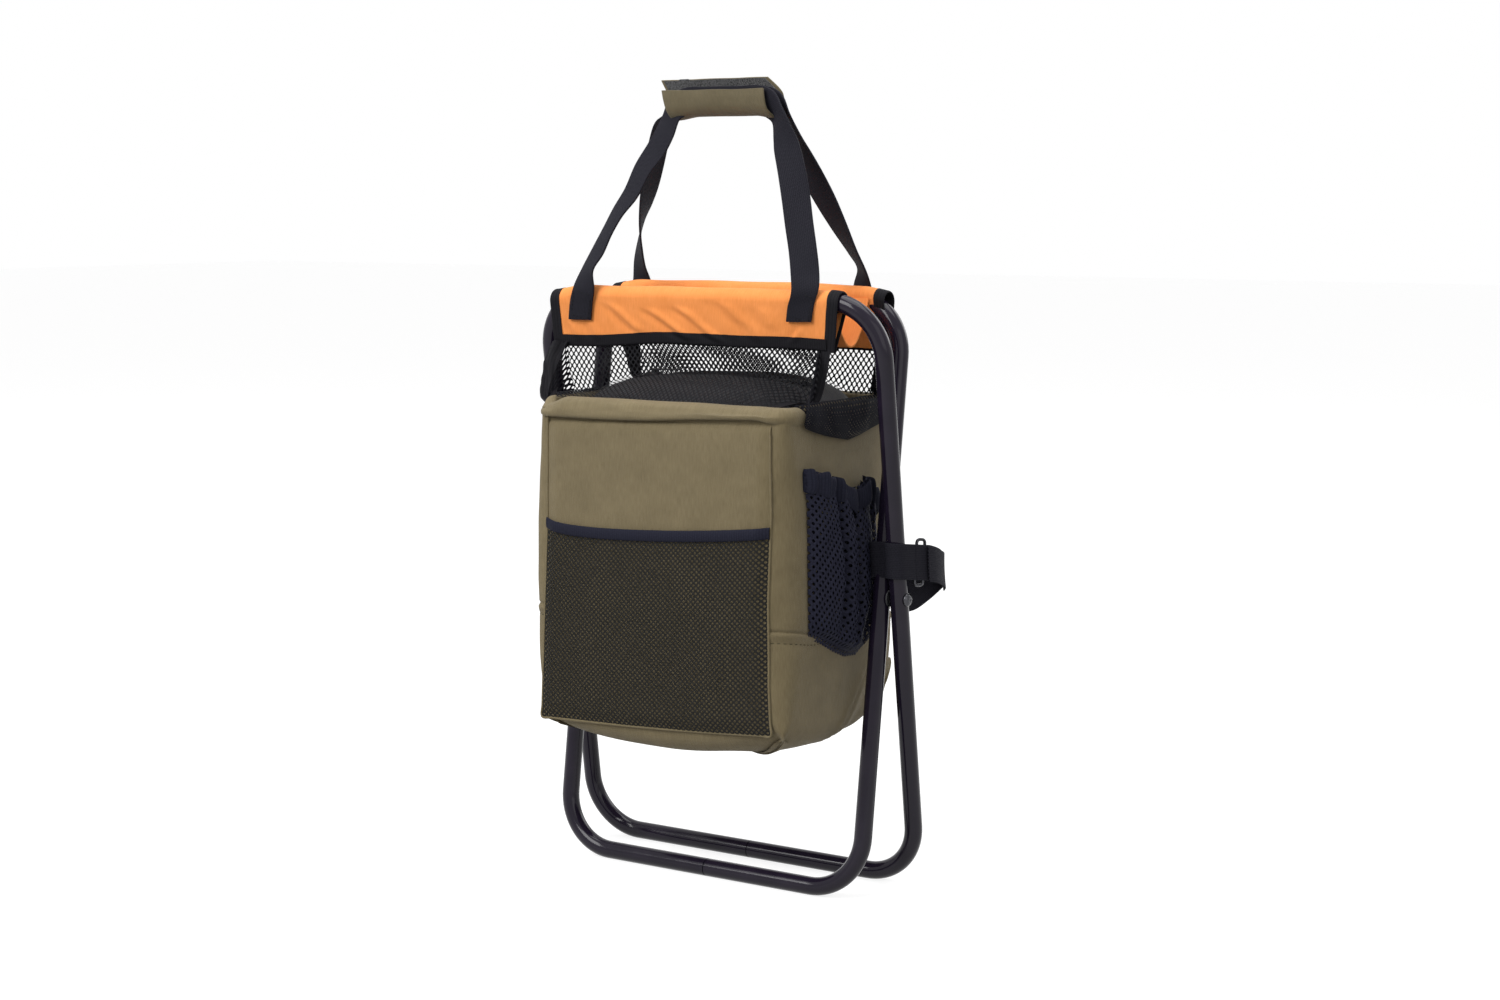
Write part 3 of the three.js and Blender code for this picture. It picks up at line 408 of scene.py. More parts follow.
@dataclass
class BentLoop:
    """Round stock bent to a closed rounded rectangle in X and Z, as a tube bender makes it."""

    name: str
    radius: float
    half_width: float
    half_height: float
    bend: float
    sides: int = 36
    bend_steps: int = 18
    seam: float = 0.0
    wall: float = 0.0

    def build(self) -> Piece:
        """Extrudes and spins a ring round the loop.

        Returns:
            The loop about the middle of its own rectangle, in metres.
        """
        deselect()
        bpy.ops.mesh.primitive_circle_add(
            vertices=self.sides, radius=self.radius * MM, rotation=(0, QUARTER_TURN, 0),
            location=(self.seam / 2 * MM, 0, -self.half_height * MM),
        )
        piece = settle(self.name)
        bpy.ops.object.mode_set(mode="EDIT")
        bpy.ops.mesh.select_all(action="SELECT")
        straight_x = self.half_width - self.bend
        straight_z = self.half_height - self.bend
        runs = [
            ((straight_x - self.seam / 2, 0), (1, -1)), ((0, 2 * straight_z), (1, 1)),
            ((-2 * straight_x, 0), (-1, 1)), ((0, -2 * straight_z), (-1, -1)),
        ]
        for (run_x, run_z), (sign_x, sign_z) in runs:
            draw_out(run_x, run_z)
            bpy.ops.mesh.spin(
                steps=self.bend_steps, angle=QUARTER_TURN, axis=(0, 1, 0),
                center=(sign_x * straight_x * MM, 0, sign_z * straight_z * MM),
            )
        draw_out(straight_x - self.seam / 2, 0)
        merge_and_leave()
        if self.wall:
            thicken(piece, self.wall, -1)
        shade(piece)
        return piece


def spun(name: str, profile: Sequence[tuple[float, float]]) -> Piece:
    """A turned piece about the X axis through the rivets.

    Args:
        name: The piece's name.
        profile: Radius and X of each point, in millimetres, from the axis back to it.

    Returns:
        The turned piece.
    """
    deselect()
    bpy.ops.mesh.primitive_plane_add(size=MM)
    piece = settle(name)
    bpy.ops.object.mode_set(mode="EDIT")
    bpy.ops.mesh.select_all(action="SELECT")
    bpy.ops.mesh.merge(type="CENTER")
    bpy.ops.transform.translate(value=at(profile[0][1], 0, PIVOT_Z + profile[0][0]))
    for (r0, x0), (r1, x1) in zip(profile, profile[1:]):
        draw_out(x1 - x0, r1 - r0)
    bpy.ops.mesh.select_all(action="SELECT")
    bpy.ops.mesh.spin(
        steps=SPUN_SIDES, angle=2 * math.pi, axis=(1, 0, 0), center=at(0, 0, PIVOT_Z), use_auto_merge=True
    )
    merge_and_leave()
    shade(piece, 35)
    return piece


def copies(shape: Piece, name: str, places: Iterable[Matrix]) -> Piece:
    """Copies a small shape to many places, each copy with its own mesh, and joins them.

    Args:
        shape: The shape about its own middle, in metres. It is used up.
        name: The joined piece's name.
        places: Each copy's turn and place.

    Returns:
        The joined piece.
    """
    made = []
    for place in places:
        copy = shape.copy()
        copy.data = shape.data.copy()
        copy.data.transform(place)
        bpy.context.scene.collection.objects.link(copy)
        made.append(copy)
    bpy.data.objects.remove(shape)
    return join(made, name)


def stitches(
    name: str, runs: Iterable[Sequence[tuple[Vector, Vector]]], length: float = 2.6, gap: float = 1.3,
    thread: float = 0.45,
) -> Piece:
    """Rows of sewn stitches, each a small bead of thread.

    Args:
        name: The piece's name.
        runs: Rows of points with the face's outward direction there, in millimetres.
        length: The length of one stitch.
        gap: The gap between two stitches.
        thread: Half the thread's width.

    Returns:
        One piece with all the stitches.
    """
    deselect()
    bpy.ops.mesh.primitive_uv_sphere_add(segments=6, ring_count=4, radius=0.5)
    bead = settle("stitch")
    bead.data.transform(Matrix.Rotation(QUARTER_TURN, 4, "Y"))
    bead.data.transform(Matrix.Diagonal((length * MM, 2 * thread * MM, 2 * thread * MM, 1)))
    shade(bead, 80)
    places = []
    for run in runs:
        path = Path([spot for spot, _ in run], 4 * len(run))
        outs = [out.normalized() for _, out in run]
        count = int((path.length - gap) / (length + gap))
        for i in range(count):
            middle = gap + length / 2 + i * (length + gap)
            head, tail = path.at((middle - length / 2) / path.length), path.at((middle + length / 2) / path.length)
            out = outs[min(int(middle / path.length * len(outs)), len(outs) - 1)]
            ahead = (tail - head).normalized()
            side = out.cross(ahead).normalized()
            turn = Matrix((ahead, side, ahead.cross(side))).transposed().to_4x4()
            places.append(Matrix.Translation(at(*((head + tail) / 2))) @ turn)
    return copies(bead, name, places)


Links = dict[str | int, object]
Colour = tuple[float, float, float]
FABRIC_SPECULAR = 0.05


class Nodes:
    """Adds nodes to one node tree and links them."""

    def __init__(self, tree: bpy.types.NodeTree) -> None:
        """Takes the tree to add to."""
        self.tree = tree

    def add(self, kind: str, inputs: Links | None = None, **settings: object) -> bpy.types.Node:
        """Adds a node.

        Args:
            kind: The node's type, without ShaderNode.
            inputs: Values or output sockets for its inputs, by name or number.
            settings: The node's own settings.

        Returns:
            The node.
        """
        node = self.tree.nodes.new("ShaderNode" + kind)
        for name, value in settings.items():
            setattr(node, name, value)
        return self.feed_all(node, inputs or {})

    def feed(self, socket: Socket, value: object) -> None:
        """Links an output socket to an input, or sets the input's value.

        Args:
            socket: The input.
            value: The output socket, or the value.
        """
        if isinstance(value, Socket):
            self.tree.links.new(value, socket)
        else:
            socket.default_value = value

    def feed_all(self, node: bpy.types.Node, inputs: Links) -> bpy.types.Node:
        """Feeds a node's inputs, by name or number, and gives the node back.

        Args:
            node: The node.
            inputs: Values or output sockets for its inputs, by name or number.

        Returns:
            The node.
        """
        for key, value in inputs.items():
            self.feed(node.inputs[key], value)
        return node

    def maths(self, operation: str, *values: object) -> Socket:
        """The result of one maths step on values or sockets."""
        return self.add("Math", dict(enumerate(values)), operation=operation).outputs[0]

    def mix(self, factor: object, first: Colour, second: Colour) -> Socket:
        """A colour between two, by factor."""
        return self.add("Mix", {0: factor, 6: (*first, 1.0), 7: (*second, 1.0)}, data_type="RGBA").outputs[2]

    def ranged(self, value: object, low: float, high: float, to_low: float, to_high: float) -> Socket:
        """Moves a value from one range to another, held inside it."""
        return self.add("MapRange", {0: value, 1: low, 2: high, 3: to_low, 4: to_high}, clamp=True).outputs[0]

    def noise(self, vector: object, scale: object, detail: float = 3.0) -> Socket:
        """Even noise from 0 to 1."""
        return self.add("TexNoise", {"Vector": vector, "Scale": scale, "Detail": detail}).outputs[0]


GroupParts = tuple[bpy.types.NodeTree, Nodes, dict[str, Socket], bpy.types.Node]


def new_group(name: str, inputs: dict[str, float], *outputs: str) -> GroupParts:
    """Starts a shader node group that also takes a vector.

    Args:
        name: The group's name.
        inputs: The names of its number inputs, with their first values.
        outputs: The names of its number outputs.

    Returns:
        The group, a helper for it, its inputs by name and its output node.
    """
    group = bpy.data.node_groups.new(name, "ShaderNodeTree")
    group.interface.new_socket(name="Vector", in_out="INPUT", socket_type="NodeSocketVector")
    for label, value in inputs.items():
        socket = group.interface.new_socket(name=label, in_out="INPUT", socket_type="NodeSocketFloat")
        socket.default_value = value
    for label in outputs:
        group.interface.new_socket(name=label, in_out="OUTPUT", socket_type="NodeSocketFloat")
    sources = {socket.name: socket for socket in group.nodes.new("NodeGroupInput").outputs if socket.name}
    return group, Nodes(group), sources, group.nodes.new("NodeGroupOutput")


def weave_group() -> bpy.types.NodeTree:
    """Threads that cross over and under each other, with slubs and mottled dyeing.

    Returns:
        The group. Height is the relief and Shade is the unevenness of the colour.
    """
    group, n, source, result = new_group("crossed_threads", {"Pitch": 0.0006, "Mottle": 60.0}, "Height", "Shade")
    turns = n.maths("DIVIDE", math.pi, source["Pitch"])
    spread = n.add("VectorMath", {0: source["Vector"], 3: turns}, operation="SCALE")
    parts = n.add("SeparateXYZ", {0: spread.outputs[0]})
    warp, weft = (n.maths("ABSOLUTE", n.maths("SINE", parts.outputs[i])) for i in (0, 1))
    checker = n.add("TexChecker", {"Vector": spread.outputs[0], "Scale": 1 / math.pi}).outputs[1]
    under = n.maths("SUBTRACT", 1.0, checker)
    over = n.maths("ADD", n.maths("MULTIPLY", warp, checker), n.maths("MULTIPLY", weft, under))
    slub = n.add("Mapping", {"Vector": source["Vector"], "Scale": (1.0, 0.12, 1.0)})
    streak = n.noise(slub.outputs[0], 900.0, 2.0)
    drift = n.noise(source["Vector"], source["Mottle"], 5.0)
    shade_of = n.maths("ADD", n.maths("MULTIPLY", streak, 0.55), n.maths("MULTIPLY", drift, 0.45))
    n.feed_all(result, {"Height": n.maths("ADD", over, n.maths("MULTIPLY", streak, 0.5)), "Shade": shade_of})
    return group


def rib_group() -> bpy.types.NodeTree:
    """Ribs across a woven tape, broken by its lengthwise threads.

    Returns:
        The group, with Height, and Shade, which is lighter on the ribs and darker in the grooves between them as
        painted shade, mixed with random fuzz.
    """
    group, n, source, result = new_group("ribbed_tape", {"Rib": 0.0013, "Thread": 0.0016}, "Height", "Shade")
    parts = n.add("SeparateXYZ", {0: source["Vector"]})
    across = n.maths("DIVIDE", parts.outputs[0], source["Thread"])
    along = n.maths("DIVIDE", parts.outputs[1], source["Rib"])
    shifted = n.maths("ADD", along, n.maths("MULTIPLY", n.maths("FLOOR", across), 0.5))
    rib, cord = (n.maths("ABSOLUTE", n.maths("SINE", n.maths("MULTIPLY", way, math.pi))) for way in (shifted, across))
    fuzz = n.noise(source["Vector"], 700.0, 3.0)
    height = n.maths("MULTIPLY", n.maths("POWER", rib, 0.6), n.maths("POWER", cord, 0.4))
    # Painted shade: the colour follows the ribs' height and is darker in the grooves.
    shade_of = n.maths("ADD", n.maths("MULTIPLY", height, 0.6), n.maths("MULTIPLY", fuzz, 0.4))
    n.feed_all(result, {"Height": n.maths("ADD", height, n.maths("MULTIPLY", fuzz, 0.3)), "Shade": shade_of})
    return group


def holes_group() -> bpy.types.NodeTree:
    """Knitted net: staggered round-cornered holes between threads.

    Returns:
        The group. Solid is 1 on the threads and 0 in the holes.
    """
    first = {"Across": 0.0046, "Along": 0.0048, "Reach": 0.36}
    group, n, source, result = new_group("knitted_holes", first, "Solid", "Height")
    parts = n.add("SeparateXYZ", {0: source["Vector"]})
    ways = [n.maths("DIVIDE", parts.outputs[i], source[label]) for i, label in enumerate(("Across", "Along"))]
    reaches = []
    for shift in (0.0, 0.5):
        x, y = (n.maths("SUBTRACT", n.maths("FRACT", n.maths("ADD", way, shift)), 0.5) for way in ways)
        bent = [n.maths("POWER", n.maths("ABSOLUTE", part), 1.5) for part in (x, y)]
        reaches.append(n.maths("POWER", n.maths("ADD", *bent), 1 / 1.5))
    nearest = n.maths("MINIMUM", *reaches)
    solid = n.maths("GREATER_THAN", nearest, source["Reach"])
    n.feed_all(result, {"Solid": solid, "Height": n.maths("MULTIPLY", nearest, 2.0)})
    return group


def grain_group() -> bpy.types.NodeTree:
    """Fine unevenness and rubbed patches of a hard finish.

    Returns:
        The group, with Height for the fine grain and Rub for the worn patches.
    """
    group, n, source, result = new_group("hard_grain", {"Grain": 900.0, "Patch": 30.0}, "Height", "Rub")
    grain = n.noise(source["Vector"], source["Grain"], 2.0)
    rub = n.ranged(n.noise(source["Vector"], source["Patch"], 6.0), 0.45, 0.75, 0.0, 1.0)
    n.feed_all(result, {"Height": grain, "Rub": rub})
    return group


class Effects:
    """The shared node groups, each built once."""

    made: dict[str, bpy.types.NodeTree] = {}
    makers = {"weave": weave_group, "rib": rib_group, "holes": holes_group, "grain": grain_group}

    @classmethod
    def get(cls, name: str) -> bpy.types.NodeTree:
        """The group of that name.

        Args:
            name: The group's name among the effects.

        Returns:
            The group.
        """
        if name not in cls.made:
            cls.made[name] = cls.makers[name]()
        return cls.made[name]


def effect(n: Nodes, name: str, **inputs: object) -> bpy.types.Node:
    """Places a shared group in a material with its own values.

    Args:
        n: The helper for the material's tree.
        name: The group's name among the effects.
        inputs: The group's own inputs.

    Returns:
        The group's node.
    """
    node = n.tree.nodes.new("ShaderNodeGroup")
    node.node_tree = Effects.get(name)
    return n.feed_all(node, inputs)


def blank(name: str) -> tuple[bpy.types.Material, Nodes, bpy.types.Node]:
    """Starts a material.

    Args:
        name: The material's name.

    Returns:
        The material, a helper for its tree, and its coordinates.
    """
    material = bpy.data.materials.new(name)
    material.use_nodes = True
    n = Nodes(material.node_tree)
    return material, n, n.add("TexCoord")


def surface(n: Nodes, height: Socket, depth: float, **inputs: object) -> None:
    """Sets a material's shader.

    Args:
        n: The helper for the material's tree.
        height: The relief, from 0 to 1.
        depth: The relief's depth in millimetres.
        inputs: The shader's inputs, with an underscore for each space.
    """
    relief = n.add("Bump", {"Height": height, "Distance": depth * MM, "Strength": 1.0})
    named = {label.replace("_", " "): value for label, value in inputs.items()}
    n.feed_all(n.tree.nodes["Principled BSDF"], {**named, "Normal": relief.outputs[0]})


@dataclass(frozen=True)
class WovenCloth:
    """Dyed, plain-woven polyester with a coated back."""

    name: str
    light: Colour
    dark: Colour
    pitch: float = 0.6
    roughness: float = 0.74
    sheen: float = 0.1
    specular: float = 0.2
    depth: float = 0.14

    def build(self) -> bpy.types.Material:
        """Builds the material.

        Returns:
            The material.
        """
        material, n, place = blank(self.name)
        woven = effect(n, "weave", Vector=place.outputs["UV"], Pitch=self.pitch * MM, Mottle=38.0).outputs
        tone = n.ranged(woven["Shade"], 0.34, 0.66, 0.0, 1.0)
        surface(
            n, woven["Height"], self.depth, Base_Color=n.mix(tone, self.dark, self.light),
            Roughness=n.ranged(woven["Height"], 0.0, 1.4, self.roughness + 0.12, self.roughness - 0.08),
            Sheen_Weight=self.sheen, Sheen_Roughness=0.5, Specular_IOR_Level=self.specular,
        )
        return material


@dataclass(frozen=True)
class Tape:
    """Woven tape or webbing with ribs across it."""

    name: str
    light: Colour
    dark: Colour
    rib: float = 1.3
    thread: float = 1.6
    depth: float = 0.25
    roughness: float = 0.62

    def build(self) -> bpy.types.Material:
        """Builds the material.

        Returns:
            The material.
        """
        material, n, place = blank(self.name)
        ribs = effect(n, "rib", Vector=place.outputs["UV"], Rib=self.rib * MM, Thread=self.thread * MM).outputs
        # The colour is darker in the grooves between the ribs: painted shade.
        surface(
            n, ribs["Height"], self.depth,
            Base_Color=n.mix(n.ranged(ribs["Shade"], 0.2, 0.8, 0.0, 1.0), self.dark, self.light),
            Roughness=n.ranged(ribs["Height"], 0.0, 1.2, self.roughness + 0.2, self.roughness - 0.08),
            Specular_IOR_Level=FABRIC_SPECULAR,
        )
        return material


@dataclass(frozen=True)
class KnittedNet:
    """Knitted polyester net. Its holes are open."""

    name: str
    light: Colour
    dark: Colour
    across: float = 4.6
    along: float = 4.8
    reach: float = 0.36
    roughness: float = 0.6

    def build(self) -> bpy.types.Material:
        """Builds the material.

        Returns:
            The material.
        """
        material, n, place = blank(self.name)
        flat = place.outputs["UV"]
        spread = {"Across": self.across * MM, "Along": self.along * MM, "Reach": self.reach}
        holes = effect(n, "holes", Vector=flat, **spread).outputs
        fuzz = n.noise(flat, 500.0, 4.0)
        surface(
            n, n.maths("ADD", holes["Height"], n.maths("MULTIPLY", fuzz, 0.5)), 0.3,
            Base_Color=n.mix(n.ranged(fuzz, 0.3, 0.7, 0.0, 1.0), self.dark, self.light),
            Roughness=n.ranged(fuzz, 0.2, 0.8, self.roughness - 0.1, self.roughness + 0.15),
            Alpha=holes["Solid"], Specular_IOR_Level=FABRIC_SPECULAR,
        )
        return material


@dataclass(frozen=True)
class HardFinish:
    """Paint, blackened steel, moulded plastic, board, foam or foil on a hard piece."""

    name: str
    light: Colour
    dark: Colour
    roughness: float = 0.3
    worn: float = 0.15
    metallic: float = 0.0
    grain: float = 900.0
    patch: float = 30.0
    depth: float = 0.01
    specular: float = 0.5

    def build(self) -> bpy.types.Material:
        """Builds the material.

        Returns:
            The material.
        """
        material, n, place = blank(self.name)
        grain = effect(n, "grain", Vector=place.outputs["Object"], Grain=self.grain, Patch=self.patch).outputs
        surface(
            n, grain["Height"], self.depth, Base_Color=n.mix(grain["Rub"], self.dark, self.light),
            Roughness=n.ranged(grain["Rub"], 0.0, 1.0, self.roughness, self.roughness + self.worn),
            Metallic=self.metallic, Specular_IOR_Level=self.specular,
        )
        return material


@dataclass(frozen=True)
class LoopPile:
    """Hook or loop tape: a field of fine hooks or fuzzy loops, darker between them with painted shade."""

    name: str
    colour: Colour
    pitch: float
    soft: float

    def build(self) -> bpy.types.Material:
        """Builds the material.

        Returns:
            The material.
        """
        material, n, place = blank(self.name)
        spread = {"Vector": place.outputs["UV"], "Scale": 1 / (self.pitch * MM), "Randomness": self.soft}
        away = n.add("TexVoronoi", spread).outputs[0]
        # dark, a third of the colour, fills the low ground between the hooks or loops: painted shade.
        dark = tuple(0.35 * c for c in self.colour)
        surface(
            n, n.ranged(away, 0.0, 0.6, 1.0, 0.0), 0.7,
            Base_Color=n.mix(n.ranged(away, 0.1, 0.6, 1.0, 0.0), dark, self.colour),
            Roughness=n.ranged(away, 0.0, 0.6, 0.55, 0.95), Sheen_Weight=0.3,
        )
        return material


BUILT: dict[str, bpy.types.Material] = {}


class Finish(Enum):
    """Every finish on the stool."""

    PAINT = HardFinish(
        "black_gloss_paint", (0.014, 0.010, 0.020), (0.009, 0.0065, 0.014), 0.12, 0.06, depth=0.003, grain=500,
        specular=0.22,
    )
    BLACK_STEEL = HardFinish("blackened_rivet", (0.10, 0.10, 0.11), (0.035, 0.035, 0.04), 0.24, 0.12, metallic=0.8)
    NYLON = HardFinish("black_moulded_nylon", (0.03, 0.03, 0.032), (0.02, 0.02, 0.022), 0.42, 0.12, depth=0.03)
    FOAM = HardFinish("closed_cell_foam", (0.80, 0.80, 0.77), (0.70, 0.70, 0.67), 0.85, 0.1, grain=1500, depth=0.15)
    FOIL = HardFinish(
        "foil_lining", (0.72, 0.73, 0.75), (0.60, 0.61, 0.63), 0.24, 0.16, metallic=0.85, grain=60, patch=45, depth=0.5
    )
    BOARD = HardFinish("stiffening_board", (0.15, 0.14, 0.12), (0.10, 0.095, 0.085), 0.65, 0.2, depth=0.05)
    OLIVE = WovenCloth("olive_oxford_cloth", (0.178, 0.141, 0.075), (0.132, 0.104, 0.053))
    GRIP = WovenCloth("olive_grip_cloth", (0.118, 0.095, 0.051), (0.086, 0.069, 0.036))
    ORANGE = WovenCloth("orange_oxford_cloth", (0.90, 0.315, 0.085), (0.80, 0.26, 0.06), sheen=0.05)
    LID_CLOTH = WovenCloth("black_lid_cloth", (0.030, 0.030, 0.034), (0.018, 0.018, 0.021))
    WEBBING = Tape("black_webbing", (0.020, 0.0195, 0.026), (0.006, 0.006, 0.009))
    BINDING = Tape("black_binding_tape", (0.013, 0.0125, 0.015), (0.005, 0.005, 0.006), rib=0.9, thread=2.4, depth=0.12)
    POCKET_BINDING = Tape(
        "blue_black_binding_tape", (0.018, 0.019, 0.031), (0.007, 0.007, 0.013), rib=0.9, thread=2.4, depth=0.12
    )
    NET = KnittedNet(
        "black_knitted_net", (0.012, 0.012, 0.014), (0.005, 0.005, 0.006), across=5.5, along=6.5, reach=0.29
    )
    DENSE_NET = KnittedNet("black_gathered_net", (0.012, 0.012, 0.016), (0.005, 0.005, 0.007), reach=0.22)
    POCKET_NET = KnittedNet(
        "blue_black_pocket_net", (0.024, 0.025, 0.042), (0.009, 0.009, 0.017), across=7.3, along=7.6, reach=0.2
    )
    # The pocket's back layer is darker than its front net: painted shade of the pocket's shaded inside, seen through
    # the holes.
    PAINTED_SHADE_BACK_NET = KnittedNet(
        "pocket_back_net", (0.010, 0.010, 0.016), (0.004, 0.004, 0.007), across=7.3, along=7.6, reach=0.17
    )
    SLIP_NET = KnittedNet(
        "fine_slip_pocket_net", (0.022, 0.021, 0.020), (0.010, 0.010, 0.009), across=5.0, along=4.8, reach=0.25
    )
    HOOK = LoopPile("hook_tape", (0.020, 0.020, 0.024), 0.9, 0.25)
    PILE = LoopPile("loop_tape", (0.022, 0.022, 0.026), 0.6, 1.0)
    BLACK_THREAD = Tape("black_thread", (0.018, 0.018, 0.020), (0.008, 0.008, 0.009), rib=0.4, thread=0.8, depth=0.05)
    OLIVE_THREAD = Tape("olive_thread", (0.085, 0.074, 0.046), (0.05, 0.044, 0.028), rib=0.4, thread=0.8, depth=0.05)

    def material(self) -> bpy.types.Material:
        """The finish's material, built at its first use.

        Returns:
            The material.
        """
        if self.name not in BUILT:
            BUILT[self.name] = self.value.build()
        return BUILT[self.name]


def dress(piece: Piece, finish: Finish, *nodes: str) -> None:
    """Gives a piece its finish, and lets it stand for CAD nodes.

    Args:
        piece: The piece.
        finish: Its finish.
        nodes: The CAD nodes that it stands for.
    """
    piece.data.materials.clear()
    piece.data.materials.append(finish.material())
    if nodes:
        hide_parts(*nodes)


def ride(piece: Piece, body: Body, finish: Finish, *nodes: str) -> None:
    """Dresses a piece that rides on one body, and lets it stand for CAD nodes.

    Args:
        piece: The piece.
        body: The body that carries it.
        finish: Its finish.
        nodes: The CAD nodes that it stands for.
    """
    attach(piece, body.value)
    dress(piece, finish, *nodes)
    LOG.info("%s rides on %s", piece.name, body.value)


def bridge(
    piece: Piece, bodies: tuple[Body, Body], span: tuple[Vector, Vector], finish: Finish, *nodes: str
) -> None:
    """Dresses a piece that spans two bodies, with its place put into its mesh.

    Args:
        piece: The finished piece.
        bodies: The bodies at its two ends. Not used.
        span: Where it follows the first body and where the second, in metres. Not used.
        finish: Its finish.
        nodes: The CAD nodes that it stands for.
    """
    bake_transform(piece)
    dress(piece, finish, *nodes)


def cloth(piece: Piece, flat: tuple[float, float], held: str, *rests_on: str) -> None:
    """Logs how much of its flat cut a sheet of cloth measures.

    Args:
        piece: The piece, a single layer or thickened.
        flat: The flat cut's width and length in millimetres.
        held: How it is held. Not used.
        rests_on: The pieces that carry it. Not used.
    """
    spread = sum(polygon.area for polygon in piece.data.polygons)
    LOG.info("%s measures %.2f of its cut", piece.name, spread / (flat[0] * flat[1] * MM * MM))


# The frame


@dataclass
class Frames:
    """The two bent tube loops with their rivets and washers."""

    bend: float = 50.0
    wall: float = 1.2
    seam: float = 0.8
    head_radius: float = 6.0
    head_height: float = 3.2

    def build(self) -> None:
        """Builds both loops, the rivets, and dresses what stays of the CAD."""
        for name, side, half_width in (("outer", Side.FRONT, OUTER_HALF_WIDTH), ("inner", Side.REAR, INNER_HALF_WIDTH)):
            loop = BentLoop(
                f"{name}_loop", TUBE_RADIUS, half_width, HALF_LENGTH, self.bend, seam=self.seam, wall=self.wall
            ).build()
            loop.data.transform(Matrix.Rotation(side.value * LEAN, 4, "X"))
            loop.data.transform(Matrix.Translation(at(0, 0, PIVOT_Z)))
            ride(loop, side.body, Finish.PAINT, f"{name}_frame_tube")
        for hand in Hand:
            self._rivet(hand)
        for node in ("outer_frame_spigot", "inner_frame_spigot"):
            dress(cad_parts[node], Finish.PAINT)
        for node in ("left_pivot_washer", "right_pivot_washer"):
            dress(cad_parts[node], Finish.NYLON)

    def _rivet(self, hand: Hand) -> None:
        """Turns one rivet: a domed head outside with a dimple, the shank, and a rolled tail inside.

        Args:
            hand: Left or right.
        """
        sign, label = hand.value, hand.label
        outside = OUTER_HALF_WIDTH + TUBE_RADIUS
        inside = INNER_HALF_WIDTH - TUBE_RADIUS
        r, h = self.head_radius, self.head_height
        profile = [
            (0.0, outside + h * 0.72), (0.9, outside + h * 0.78), (1.7, outside + h * 0.97), (2.4, outside + h),
            (r * 0.62, outside + h * 0.88), (r * 0.84, outside + h * 0.58), (r * 0.96, outside + h * 0.3),
            (r, outside + 0.35), (r * 0.97, outside - 0.6), (2.4, outside - 0.6), (2.4, inside + 0.6),
            (4.4, inside + 0.4), (4.6, inside - 0.6), (3.9, inside - 1.7), (2.6, inside - 1.9), (1.6, inside - 1.0),
            (0.0, inside - 0.8),
        ]
        rivet = spun(f"{label}_rivet", [(radius, sign * x) for radius, x in profile])
        ride(rivet, Body.OUTER, Finish.BLACK_STEEL, f"{label}_pivot_rivet")


# The seat cloth


